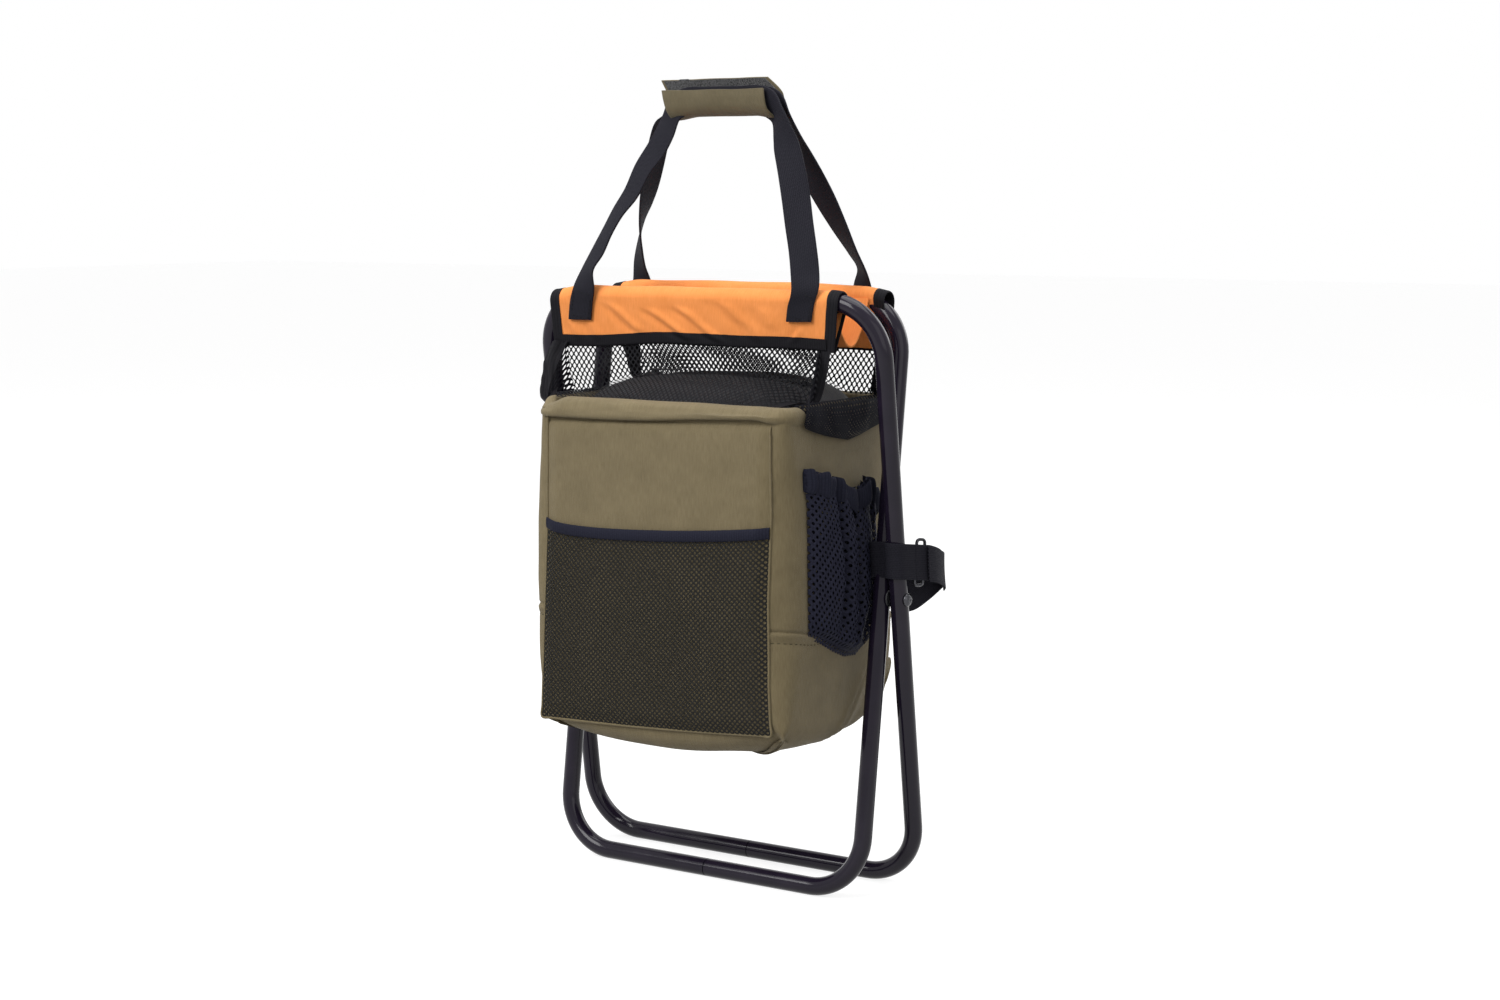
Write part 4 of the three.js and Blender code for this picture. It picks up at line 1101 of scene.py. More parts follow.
@dataclass
class SeatCloth:
    """Orange sleeves on the top bars with black edges, and the sling between them."""

    wrap: float = 9.6
    edge: float = 9.5
    tape: float = 9.6
    turned: float = 4.4
    slack: float = 2.4
    sling_inset: float = 14.0
    ends: dict[Side, tuple[float, float]] = field(
        default_factory=lambda: {Side.FRONT: (-164.5, 139.5), Side.REAR: (-149.0, 143.5)}
    )
    creases: tuple[tuple[float, ...], ...] = (
        (-94, 48, 0.2, 0.72, 6, 1.9), (-51, 60, 0.3, 0.86, 6.5, 2.2), (-19, 56, 0.25, 0.88, 6.5, 2.2),
        (66, 14, 0.2, 0.55, 8, 1.1), (-142, 20, 0.6, 0.84, 4, 1.2), (-122, 22, 0.55, 0.84, 5, 1.1),
        (102, -30, 0.6, 0.84, 4, 1.1), (26, 46, 0.08, 0.5, 8, 1.1),
        (-4, 60, 0.45, 0.86, 9, -0.9), (48, 30, 0.5, 0.84, 7, 0.9),
    )

    def depth(self, side: Side, x: float) -> float:
        """How far the orange hangs below the bar's middle line on the outside.

        Args:
            side: The frame.
            x: The place along the bar.

        Returns:
            The distance in millimetres.
        """
        if side is Side.FRONT:
            return 29.8 + 1.4 * smooth(60, 130, x) + 5.6 * smooth(-20, -160, x) + 0.5 * math.sin(x / 23)
        return 33.0 + 1.5 * math.sin(x / 60) + 0.5 * math.sin(x / 19)

    def along(self, side: Side, u: float, hang: float, inset: float = 0.0) -> float:
        """X at a share from the left end to the right. Hang is 0 at the bar and 1 at the hem.

        Args:
            side: The frame.
            u: The share from the left end to the right.
            hang: 0 at the bar and 1 at the hem.
            inset: How far both ends lie inside the sleeve's.

        Returns:
            X in millimetres.
        """
        left, right = self.ends[side]
        pull = -6.5 * hang if side is Side.FRONT else 1.5 * hang
        return left + inset + (right + pull - left - 2 * inset) * u

    def hood(self, side: Side, walked: float, reach: float, low: float, x: float) -> Vector:
        """A point on the cloth over the bar, whose two sides meet at the hem.

        Args:
            side: The frame.
            walked: The distance from the outside's bottom, over the bar, to the inside's bottom.
            reach: The distance from the bar's middle line over the top.
            low: How far the two sides hang below it.
            x: The place along the bar.

        Returns:
            The point.
        """
        arc = math.pi * reach
        if walked < low:
            out, up = reach, walked - low
        elif walked < low + arc:
            angle = (walked - low) / reach
            out, up = reach * math.cos(angle), reach * math.sin(angle)
        else:
            hang = (walked - low - arc) / low
            out, up = -reach + (2 * reach - self.slack) * hang**1.15, -hang * low
        beyond = abs(x) - (128 if side is Side.FRONT else 118)
        droop = 5.5 * smooth(0, 42, beyond) * max(0.0, 1 + 0.6 * min(up, 0) / max(low, 1))
        if side is Side.REAR:
            droop -= (3.0 - 2.2 * smooth(60, 140, x)) * max(0.0, 1 + min(up, 0) / max(low, 1))
        y, z = on_bar(side, out, up)
        return Vector((x, y, z - droop))

    def foot(self, side: Side, x: float) -> Vector:
        """Where the net leaves the hem at a place along the bar."""
        y, z = on_bar(side, self.wrap - 1.6, -self.depth(side, x) - self.tape + 1.5)
        return Vector((x, y, z))

    def girth(self, reach: float, low: float) -> float:
        """The way over the bar from hem to hem."""
        return 2 * low + math.pi * reach

    def folds(self, x: float, hang: float) -> float:
        """How far the outer face stands out in slanting folds between the handle's tabs.

        Args:
            x: The place along the bar.
            hang: 0 at the bar and 1 at the hem.

        Returns:
            The distance in millimetres.
        """
        made = 0.0
        for start, slant, high, low, width, height in self.creases:
            held = smooth(high - 0.12, high + 0.08, hang) * smooth(low + 0.1, low - 0.08, hang)
            centre = start + slant * (hang - high)
            made += height * held * (bump(x, centre, width) - 0.7 * bump(x, centre - 1.6 * width, width))
        return made

    def build(self) -> None:
        """Builds the sleeves, the bindings and the sling."""
        for side in Side:
            self._sleeve(side)
            self._hem(side)
            for hand in Hand:
                self._binding(side, hand)
            self._sling(side)

    def _sleeve(self, side: Side) -> None:
        """The orange sleeve over one bar.

        Args:
            side: The frame.
        """
        wide = self.ends[side][1] - self.ends[side][0] - 4
        tall = self.girth(self.wrap, 42)

        def place(u: float, v: float) -> Vector:
            """A point of the sleeve, along the bar and over it from hem to hem."""
            guess = self.along(side, u, 0.5, 2)
            low = self.depth(side, guess) + self.tape - 0.6
            walked = v * self.girth(self.wrap, low)
            outer = unit(1 - walked / low)
            inner = unit((walked - low - math.pi * self.wrap) / low)
            x = self.along(side, u, max(outer, inner), 2)
            point = self.hood(side, walked, self.wrap, low, x)
            swell = self.folds(x, outer) if outer > 0 else 0.0
            swell += 0.35 * ripple(x, walked, 0, 26, 3.1)
            loft = 0.9 * ripple(x, 0, 0, 60, 9.1) if outer == inner == 0 else 0.0
            return point + Vector((0, -side.value * swell, loft))

        piece = sheet_of(f"{side.label}_seat_sleeve", (200, 60), (wide, tall), place, side is Side.REAR)
        thicken(piece, 0.6, -1)
        shade(piece)
        ride(piece, side.body, Finish.ORANGE, f"{side.label}_sleeve")
        cloth(piece, (wide, tall), "stretched", side.loop)

    def _hem(self, side: Side) -> None:
        """The black tape over the sleeve's lower edge, which also holds the net's top edge.

        Args:
            side: The frame.
        """
        wide = self.ends[side][1] - self.ends[side][0] - 12
        flat = (wide, self.tape + self.turned)

        def place(u: float, v: float) -> Vector:
            """A point of the tape, from its turned edge up to its top edge."""
            x = self.along(side, u, 1.0, 6)
            low = self.depth(side, x) + self.tape
            walked = (1 - v) * (self.tape + self.turned)
            swell = self.folds(x, min(1.0, (low - self.tape + walked) / low))
            if walked < self.tape:
                y, z = on_bar(side, self.wrap + 1.1, -low + self.tape - walked)
                y -= side.value * swell
            else:
                turn = (walked - self.tape) / self.turned
                y, z = on_bar(side, self.wrap + 1.1 - self.turned * turn, -low - 0.9 * math.sin(math.pi * turn))
                y -= side.value * swell * (1 - turn)
            return Vector((x, y, z + 0.4 * ripple(x, 0, 0, 40, 5.0)))

        piece = sheet_of(f"{side.label}_seat_hem", (150, 14), flat, place, side is not Side.REAR)
        thicken(piece, 1.2, 0)
        shade(piece)
        ride(piece, side.body, Finish.BINDING, f"{side.label}_hem")
        cloth(piece, flat, "stretched", f"{side.label}_seat_sleeve")

    def _binding(self, side: Side, hand: Hand) -> None:
        """The tape folded over one end of a sleeve.

        Args:
            side: The frame.
            hand: Left or right.
        """
        sign, label = hand.value, hand.label
        reach = self.wrap - 0.3
        width = self.edge
        flat = (2 * width + 2.4, self.girth(reach, 43))

        def place(u: float, v: float) -> Vector:
            """A point of the binding, from its outer layer round the sleeve's end to its inner one."""
            fold = (2 * u - 1) * abs(2 * u - 1) ** 0.8 * (width + 1.2)
            inward = max(abs(fold) - 1.2, 0.0)
            side_of = max(-1.0, min(1.0, fold / 1.2))
            guess = self.ends[side][0 if sign < 0 else 1]
            low = self.depth(side, guess) + self.tape + 0.3 * side_of + 0.8
            walked = v * self.girth(reach, low)
            outer = max(0.0, 1 - walked / low)
            inner = max(0.0, (walked - low - math.pi * reach) / low)
            x = self.along(side, 0.0 if sign < 0 else 1.0, max(outer, inner))
            x -= sign * (inward - 0.9 * math.sqrt(max(0.0, 1 - side_of * side_of)))
            x += 0.4 * ripple(walked, 0, 0, 22, 7.0 + sign)
            point = self.hood(side, walked, reach + 0.66 * side_of, low, x)
            swell = self.folds(x, outer) if outer > 0 else 0.0
            return point + Vector((0, -side.value * swell, 0))

        piece = sheet_of(
            f"{side.label}_{label}_seat_edge", (20, 84), flat, place, (side is Side.REAR) == (sign < 0)
        )
        thicken(piece, 0.5, 0, False)
        shade(piece)
        ride(piece, side.body, Finish.BINDING, f"{side.label}_sleeve_binding_{label}")
        cloth(piece, flat, "folded", f"{side.label}_seat_sleeve")

    def _sling(self, side: Side) -> None:
        """Half the sling, from one sleeve's inner face to the middle. Folded, it hangs in a loop.

        Args:
            side: The frame.
        """
        rim_y, rim_z = on_bar(Side.FRONT, -self.wrap - 0.4, -1)
        dip = 41.0
        left, right = (sum(ends) / 2 for ends in zip(*self.ends.values()))
        flat = (right - left - 2 * self.sling_inset, 58.0)

        def place(u: float, v: float) -> Vector:
            """A point of the sling, from the middle between the bars to its sleeve."""
            own_left, own_right = self.ends[side]
            across = 1 - v
            low = left + self.sling_inset + (own_left - left) * across
            high = right - self.sling_inset + (own_right - right) * across
            x = low + (high - low) * u
            sag = dip * (1 - across * across)
            wave = 1.6 * ripple(x, 90 * v, 0, 34, 11) * math.sin(math.pi * min(1.0, v * 1.2)) * (1 - v * v)
            return Vector((x, side.value * across * rim_y, rim_z - sag + wave))

        piece = sheet_of(f"{side.label}_seat_sling", (90, 26), flat, place, side is Side.REAR)
        thicken(piece, 1.4, 0)
        shade(piece)
        nodes = ("seat_sling",) if side is Side.FRONT else ()
        span = at(0, side.value * rim_y, rim_z), at(0, 0, rim_z)
        bridge(piece, (side.body, Body.BAG), span, Finish.ORANGE, *nodes)
        cloth(piece, flat, "hung", f"{side.label}_seat_sleeve")


# The insulated bag


def read(table: Table, value: float) -> float:
    """The second number of a table of pairs at a value of the first, drawn straight between the pairs.

    Args:
        table: The pairs, with their first numbers rising.
        value: The first number.

    Returns:
        The second number there.
    """
    for (low, first), (high, second) in zip(table, table[1:]):
        if value <= high:
            return first + (second - first) * max(0.0, value - low) / (high - low)
    return table[-1][1]


@dataclass
class Bag:
    """The insulated bag: shell, front panel, rolled border, lid with its zip, and what lines it."""

    front: float = -112.0
    rear: float = 85.0
    half_width: float = 130.0
    bottom: float = 130.187
    top: float = 428.187
    lid_corner: float = 17.0
    lid_inset: float = 11.0
    lid_rise: float = 28.5
    half_zip: float = 95.0
    zip_rise: float = 22.0
    zip_tape: float = 13.0
    teeth: int = 94
    tooth_pitch: float = 2.03
    slider_start: float = 23.0
    floor_share: float = 0.2
    stitch_drop: float = 9.8
    walls: Table = (
        (0, 16), (0.01, 9.5), (0.02, 6), (0.04, 2.2), (0.07, 0.6), (0.3, 0), (0.9, 0), (1, 1.7),
    )
    right_radius: Table = ((0, 8), (0.1, 15), (0.3, 25), (0.5, 28), (0.75, 26), (0.93, 16), (1, 12))
    panel_left: Table = ((146, -128.5), (230, -124.5), (329, -119.5), (416, -118.3))
    panel_right: Table = ((158, 116), (200, 113.4), (274, 112), (342, 114.5), (422, 115.2))
    roll: Table = (
        (-8.5, 8.5), (-4, 9.3), (3, 6), (6.5, -1), (7.5, -6.5), (5, -8.8), (0, -7.5), (-6, -7), (-8.5, 0),
    )

    @property
    def middle(self) -> float:
        """The Y of the bag's middle."""
        return (self.front + self.rear) / 2

    @property
    def half_depth(self) -> float:
        """Half the bag's size from front to rear."""
        return (self.rear - self.front) / 2

    def crown(self, x: float, y: float) -> float:
        """The height of the padded lid's top.

        Args:
            x: The place's X.
            y: The place's Y.

        Returns:
            The height in millimetres.
        """
        across = abs(x) / (self.half_width - self.lid_inset)
        deep = abs(y - self.middle) / (self.half_depth - self.lid_inset)
        full = (across**2.6 + deep**2.6) ** (1 / 2.6)
        tilt = 1 + 0.1 * x / self.half_width
        rise = self.lid_rise * tilt * max(0.0, 1 - full**3.2) ** 0.62
        beside = smooth(14, 38, abs(y - self.middle))
        return self.top + 1.0 + min(rise, self.zip_rise + 12 * beside)

    def ring(self, share: float, inset: float, radius: float) -> tuple[float, float, float, float]:
        """A point of a rounded rectangle round the bag, at even steps.

        Args:
            share: The place round it, from 0 to 1, starting at the middle of the rear.
            inset: How far it lies inside the bag's own outline.
            radius: Its corners' radius.

        Returns:
            X, Y and the outward direction's X and Y.
        """
        hx, hy = self.half_width - inset - radius, self.half_depth - inset - radius
        arc = QUARTER_TURN * radius
        runs = [(hx, 0), (arc, 1), (2 * hy, 0), (arc, 1), (2 * hx, 0), (arc, 1), (2 * hy, 0), (arc, 1), (hx, 0)]
        walked = (share % 1.0) * sum(length for length, _ in runs)
        x, y, heading = 0.0, hy + radius, 0.0
        for length, turn in runs:
            step = min(walked, length)
            if turn:
                angle = step / radius
                x += radius * (math.sin(heading + angle) - math.sin(heading))
                y += radius * (math.cos(heading + angle) - math.cos(heading))
                heading += angle
            else:
                x += step * math.cos(heading)
                y -= step * math.sin(heading)
            walked -= step
            if walked <= 1e-9:
                break
        return x, self.middle + y, math.sin(heading), math.cos(heading)

    def lift(self, x: float, y: float) -> float:
        """How far the base's rim is drawn up: least at the front's middle, most at the rear corners.

        Args:
            x: The place's X.
            y: The place's Y.

        Returns:
            The distance in millimetres.
        """
        a, b = x / self.half_width, (y - self.middle) / self.half_depth
        side = 28 * a**1.8 if a > 0 else 16.5 * abs(a) ** 3
        return side * (0.36 + 0.64 * abs(b) ** 2.5) if b < 0 else 0.36 * side + 55 * b**4 * a * a

    def seam(self, x: float, y: float) -> float:
        """The height of the seam round the bag above its base."""
        return 249 - 1.2 * x / self.half_width - 6.5 * smooth(self.front, self.front + 52, y)

    def swell(self, x: float, y: float, z: float, nx: float, ny: float) -> float:
        """How far the wall stands out at a place, with the base's seam and the dart beside it.

        Args:
            x: The place's X.
            y: The place's Y.
            z: The place's height.
            nx: The outward direction's X.
            ny: The outward direction's Y.

        Returns:
            The distance in millimetres.
        """
        share = (z - self.bottom) / (self.top - self.bottom)
        along = x / self.half_width if abs(ny) > 0.7 else (y - self.middle) / self.half_depth
        flat = 1 - min(1.0, abs(along)) ** 3
        full = 2.6 if abs(nx) > 0.7 else 1.0 if ny > 0 else 0.3
        calm = 0.35 if ny < -0.9 else 1.0
        made = full * flat * math.sin(math.pi * unit(share + 0.12)) ** 0.7
        made += calm * (0.8 * ripple(x, y, z, 46, 1.7) + 0.35 * ripple(x, y, z, 17, 4.3))
        above = z - self.seam(x, y)
        made += -1.3 * bump(above, 0, 1.2) + 0.8 * bump(above, -3.6, 3.0) - 0.5 * bump(above, -self.stitch_drop, 1.3)
        if nx > 0.5:
            beyond = z - self.bottom - 10 - 1.17 * (y + 21.6)
            made -= smooth(100, 40, z - self.bottom) * (6.0 * smooth(0, -34, beyond) + 2.0 * bump(beyond, 0, 4))
            made += 1.6 * bump(beyond, 9, 7) * smooth(90, 40, z - self.bottom)
        return made

    def wall(self, u: float, share: float, inset: float = 0.0, raised: float = 0.0) -> tuple[Vector, Vector]:
        """A point of the wall.

        Args:
            u: The place round the bag, from the middle of the rear over the right side.
            share: The height, from 0 at the base to 1 at the mouth.
            inset: How far it lies inside the shell's outer face.
            raised: How far the base is raised there.

        Returns:
            The point and the outward direction.
        """
        if inset:
            share = 0.97 * share
            inset += 20.0 * smooth(0.34, 0.0, share)
        radius = read(self.right_radius, share) if u % 1.0 <= 0.5 else 9.0
        x, y, nx, ny = self.ring(u, inset, max(4.0, radius - inset))
        corner = min(1.0, 2 * abs(nx * ny))
        pull = read(self.walls, share) * (1 - 0.9 * corner)
        x, y = x - nx * pull, y - ny * pull
        fade = max(0.0, 1 - share / 0.38) ** 1.3
        z = self.bottom + (self.top - self.bottom) * share + self.lift(x, y) * fade + raised * max(0.0, 1 - share) ** 12
        out = self.swell(x, y, z, nx, ny)
        bulge = 5.4 * smooth(0.0, 0.3, share) * smooth(1.0, 0.6, share) * smooth(0.05, 0.6, -nx)
        return Vector((x + nx * out - bulge, y + ny * out, z)), Vector((nx, ny, 0))

    def cup(self, u: float, v: float, inset: float = 0.0, raised: float = 0.0) -> Vector:
        """A point of the base and the wall in one, with v from the middle of the base to the mouth.

        Args:
            u: The place round the bag.
            v: The place from the base's middle to the mouth.
            inset: How far it lies inside the shell's outer face.
            raised: How far the base is raised there.

        Returns:
            The point.
        """
        if v < self.floor_share:
            t = v / self.floor_share
            rim, _ = self.wall(u, 0.0, inset, raised)
            level = self.bottom + raised
            sag = 1.5 * (1 - t * t) - 0.4 * ripple(rim.x * t, rim.y * t, 0, 40, 9) * (1 - t)
            return Vector((rim.x * t, self.middle + (rim.y - self.middle) * t, level + (rim.z - level) * t**5 - sag))
        t = (v - self.floor_share) / (1 - self.floor_share)
        near = 0.045 * math.tanh((t - 0.395) / 0.06)
        share = (t - near - 0.045) / 0.91
        return self.wall(u, unit(share), inset, raised)[0]

    def build(self) -> None:
        """Builds every piece of the bag."""
        self._shell()
        self._seams()
        self._lining()
        self._roll()
        self._lid()
        self._zip()
        self._slider()
        self._panel()

    def _shell(self) -> None:
        """The olive shell, walls and floor in one."""
        girth = 4 * (self.half_width + self.half_depth)
        flat = (girth, (self.top - self.bottom) / (1 - self.floor_share))
        piece = sheet_of("bag_shell_cloth", (260, 150), flat, self.cup)
        weld(piece, 0.05)
        thicken(piece, 1.6, -1, False)
        shade(piece, 60)
        ride(piece, Body.BAG, Finish.OLIVE, "bag_shell")

    def _seams(self) -> None:
        """The row of stitches under the seam, round the sides and the rear."""
        run = []
        for i in range(361):
            u = 0.632 + 0.744 * i / 360
            share = 0.37
            for _ in range(4):
                spot, out = self.wall(u, share)
                share += (self.seam(spot.x, spot.y) - self.stitch_drop - spot.z) / (self.top - self.bottom)
            run.append((spot + out * 0.1, out))
        ride(stitches("bag_base_seam_stitches", [run], 3.4, 2.0, 0.5), Body.BAG, Finish.OLIVE_THREAD)

    def _lining(self) -> None:
        """What lines the shell: the stiffening board, the foam and the foil, each inside the one before."""

        def plate(u: float, v: float) -> Vector:
            """A point of the board's lower face."""
            return self.cup(u, v * 0.9 * self.floor_share, 2.4, 2.2)

        def foam(u: float, v: float) -> Vector:
            """A point of the foam's outer face."""
            return self.cup(u, v, 3.0, 8.0)

        def foil(u: float, v: float) -> Vector:
            """A point of the foil."""
            return self.cup(u, v, 11.6, 17.5)

        board = sheet_of("bag_base_board", (120, 16), (260, 197), plate)
        foam_cup = sheet_of("bag_foam_cup", (160, 90), (900, 370), foam)
        foil_cup = sheet_of("bag_foil_cup", (160, 90), (860, 360), foil)
        for piece, thickness, finish, node in (
            (board, 3.0, Finish.BOARD, "base_board"), (foam_cup, 8.0, Finish.FOAM, "foam_liner"),
            (foil_cup, 0.8, Finish.FOIL, "foil_lining"),
        ):
            weld(piece, 0.05)
            thicken(piece, thickness, -1, False)
            shade(piece, 60)
            ride(piece, Body.BAG, finish, node)

    def _roll(self) -> None:
        """The soft rolled border round the mouth. At the front it is a wide band that overhangs the panel."""
        section = [Vector((out, up, 0)) for out, up in (*self.roll, self.roll[0])]

        def place(u: float, v: float) -> Vector:
            """A point round the mouth and round the border's section."""
            x, y, nx, ny = self.ring(u, 6.5, 10.5)
            front = smooth(0.2, 0.95, -ny) * (1 - 0.75 * smooth(98, 128, x))
            angle = 2 * math.pi * v
            pinch = 1 + 0.06 * ripple(x, y, 0, 26, 2.2)
            plain = Vector((7.4 * math.cos(angle), 8.5 * math.sin(angle), 0)) * pinch
            band = spline(section, (0.333 - v) % 1.0)
            if band.y < 3:
                band.y += 7.5 * smooth(-60, 120, x) * smooth(3, -6, band.y)
            spot = plain.lerp(band, front)
            spot.y += 0.7 * ripple(x, y, 0, 50, 6.1) - 9.0 * front * smooth(-98, -128, x) * smooth(-6, 6, spot.y)
            out = spot.x + 1.0 + front * (3.4 + 0.8 * ripple(x, 9 * spot.y, 0, 30, 7))
            return Vector((x + nx * out, y + ny * out, self.top + 1.0 + spot.y))

        piece = sheet_of("bag_mouth_roll", (280, 28), (914, 50), place, True)
        weld(piece, 0.05)
        shade(piece, 70)
        ride(piece, Body.BAG, Finish.OLIVE, "mouth_roll")

    def panel_edge(self, u: float) -> tuple[float, float]:
        """The heights of the panel's lower and upper seam at a share from its left to its right."""
        return 146.7 + 11.8 * u - 2.0 * math.sin(math.pi * u), 420.0 + 7.0 * u

    def panel_spot(self, u: float, z: float, out: float) -> Vector:
        """A point in front of the panel's seams, standing out by a distance.

        Args:
            u: The share from the left seam to the right one.
            z: The place's height.
            out: The distance.

        Returns:
            The point.
        """
        left, right = read(self.panel_left, z), read(self.panel_right, z)
        x = left + (right - left) * u
        radius = read(self.right_radius, (z - self.bottom) / (self.top - self.bottom))
        over = max(0.0, x - self.half_width + radius)
        recede = radius - math.sqrt(max(1.0, radius * radius - over * over))
        return Vector((x, self.front - 0.3 + recede - out, z))

    def stuffed(self, u: float, z: float) -> float:
        """How far the stuffed panel stands out.

        Args:
            u: The share from the left seam to the right one.
            z: The place's height.

        Returns:
            The distance in millimetres.
        """
        low, high = self.panel_edge(u)
        edge_x, edge_z = min(u, 1 - u) * PANEL_WIDTH, max(0.0, min(z - low, high - z))
        made = 3.0 * smooth(-3, 13, edge_x) * smooth(-3, 13, edge_z)
        made += 2.4 * math.sin(math.pi * u) * math.sin(math.pi * unit((z - low) / (high - low)))
        made -= 3.0 * smooth(high - 7, high - 1, z)
        return made + 0.9 * ripple(PANEL_WIDTH * u, 0, z, 60, 8.4) * smooth(0, 30, edge_x)

    def _panel(self) -> None:
        """The stuffed front panel, sewn in with a thin piped seam."""

        def place(u: float, v: float) -> Vector:
            """A point of the panel."""
            low, high = self.panel_edge(u)
            z = low + (high + 4 - low) * v
            return self.panel_spot(u, z, self.stuffed(u, z))

        piece = sheet_of("bag_front_panel", (110, 120), (PANEL_WIDTH, 272), place)
        thicken(piece, 1.2, -1)
        shade(piece)
        ride(piece, Body.BAG, Finish.OLIVE, "front_panel")
        corners = ((0.0, 1.0), (0.0, 0.0), (1.0, 0.0), (1.0, 1.0))
        run = []
        for (u0, v0), (u1, v1) in zip(corners, corners[1:]):
            for i in range(24):
                u, v = u0 + (u1 - u0) * i / 24, v0 + (v1 - v0) * i / 24
                low, high = self.panel_edge(u)
                run.append(self.panel_spot(u, low + (high - low) * v, 0.4))
        seam_line = Path(run, 600)

        def piping(u: float, v: float) -> Vector:
            """A point of the piped seam."""
            spot, ahead = seam_line.at(u), seam_line.at(min(1.0, u + 0.002)) - seam_line.at(max(0.0, u - 0.002))
            aside = Vector((ahead.z, 0, -ahead.x)).normalized()
            angle = 2 * math.pi * v
            return spot + aside * 1.1 * math.cos(angle) + Vector((0, -1.1 * math.sin(angle), 0))

        trim = sheet_of("bag_panel_piping", (420, 8), (800, 7), piping)
        weld(trim, 0.02)
        shade(trim, 80)
        ride(trim, Body.BAG, Finish.OLIVE)

    def _lid(self) -> None:
        """The padded lid under the nets."""

        def place(u: float, v: float) -> Vector:
            """A point of the lid, from its middle out to its rim."""
            x, y, _, _ = self.ring(u, self.lid_inset, self.lid_corner)
            x, y = x * v, self.middle + (y - self.middle) * v
            quilt = 0.7 * ripple(x, y, 0, 40, 12) * smooth(12, 24, abs(y - self.middle))
            return Vector((x, y, self.crown(x, y) + quilt * (1 - v**4)))

        piece = sheet_of("bag_lid", (200, 40), (600, 120), place)
        weld(piece, 0.05)
        thicken(piece, 4.0, -1)
        shade(piece, 60)
        ride(piece, Body.BAG, Finish.LID_CLOTH, "cooler_lid")

    def _zip(self) -> None:
        """The zip along the lid's crown, with its teeth."""
        half = self.half_zip

        def tape(u: float, v: float) -> Vector:
            """A point of the zip's tape."""
            x, across = (2 * u - 1) * half, (2 * v - 1) * self.zip_tape
            rise = 0.9 + 0.4 * bump(abs(across), 5, 2)
            return Vector((x, self.middle + across, self.crown(x, self.middle + across) + rise))

        piece = sheet_of("lid_zip_tape", (80, 16), (2 * half, 2 * self.zip_tape), tape)
        thicken(piece, 0.6, 0)
        shade(piece)
        ride(piece, Body.BAG, Finish.BINDING, "zip")
        tooth = block("zip_tooth", (1.5, 3.2, 1.9), Vector(), 0.35, 1)
        shade(tooth, 30)
        spots = [(-half + 2 + self.tooth_pitch * i, 0.8 if i % 2 else -0.8) for i in range(self.teeth)]
        places = [
            Matrix.Translation(at(x, self.middle + side, self.crown(x, self.middle) + 1.9)) for x, side in spots
        ]
        ride(copies(tooth, "lid_zip_teeth", places), Body.BAG, Finish.NYLON)

    def _slider(self) -> None:
        """The zip's slider and its puller, bevelled from blocks."""
        x = self.slider_start - self.half_zip
        z = self.crown(x, self.middle)
        blocks = [
            block("zip_block", size, at(x, self.middle + aside, z + up), 0.5)
            for size, aside, up in (
                ((12, 10, 1.5), 0, 3.6), ((12, 1.6, 4.2), -4.2, 2.2), ((12, 1.6, 4.2), 4.2, 2.2), ((5, 3, 2.6), 0, 5.4)
            )
        ]
        puller = block("lid_zip_puller", (30, 8, 1.3), at(x + 12, self.middle, z + 6.9), 0.5)
        for piece, node in ((join(blocks, "lid_zip_slider"), "zip_slider"), (puller, "zip_puller")):
            shade(piece, 40)
            ride(piece, Body.SLIDER, Finish.NYLON, node)


# Pockets and nets


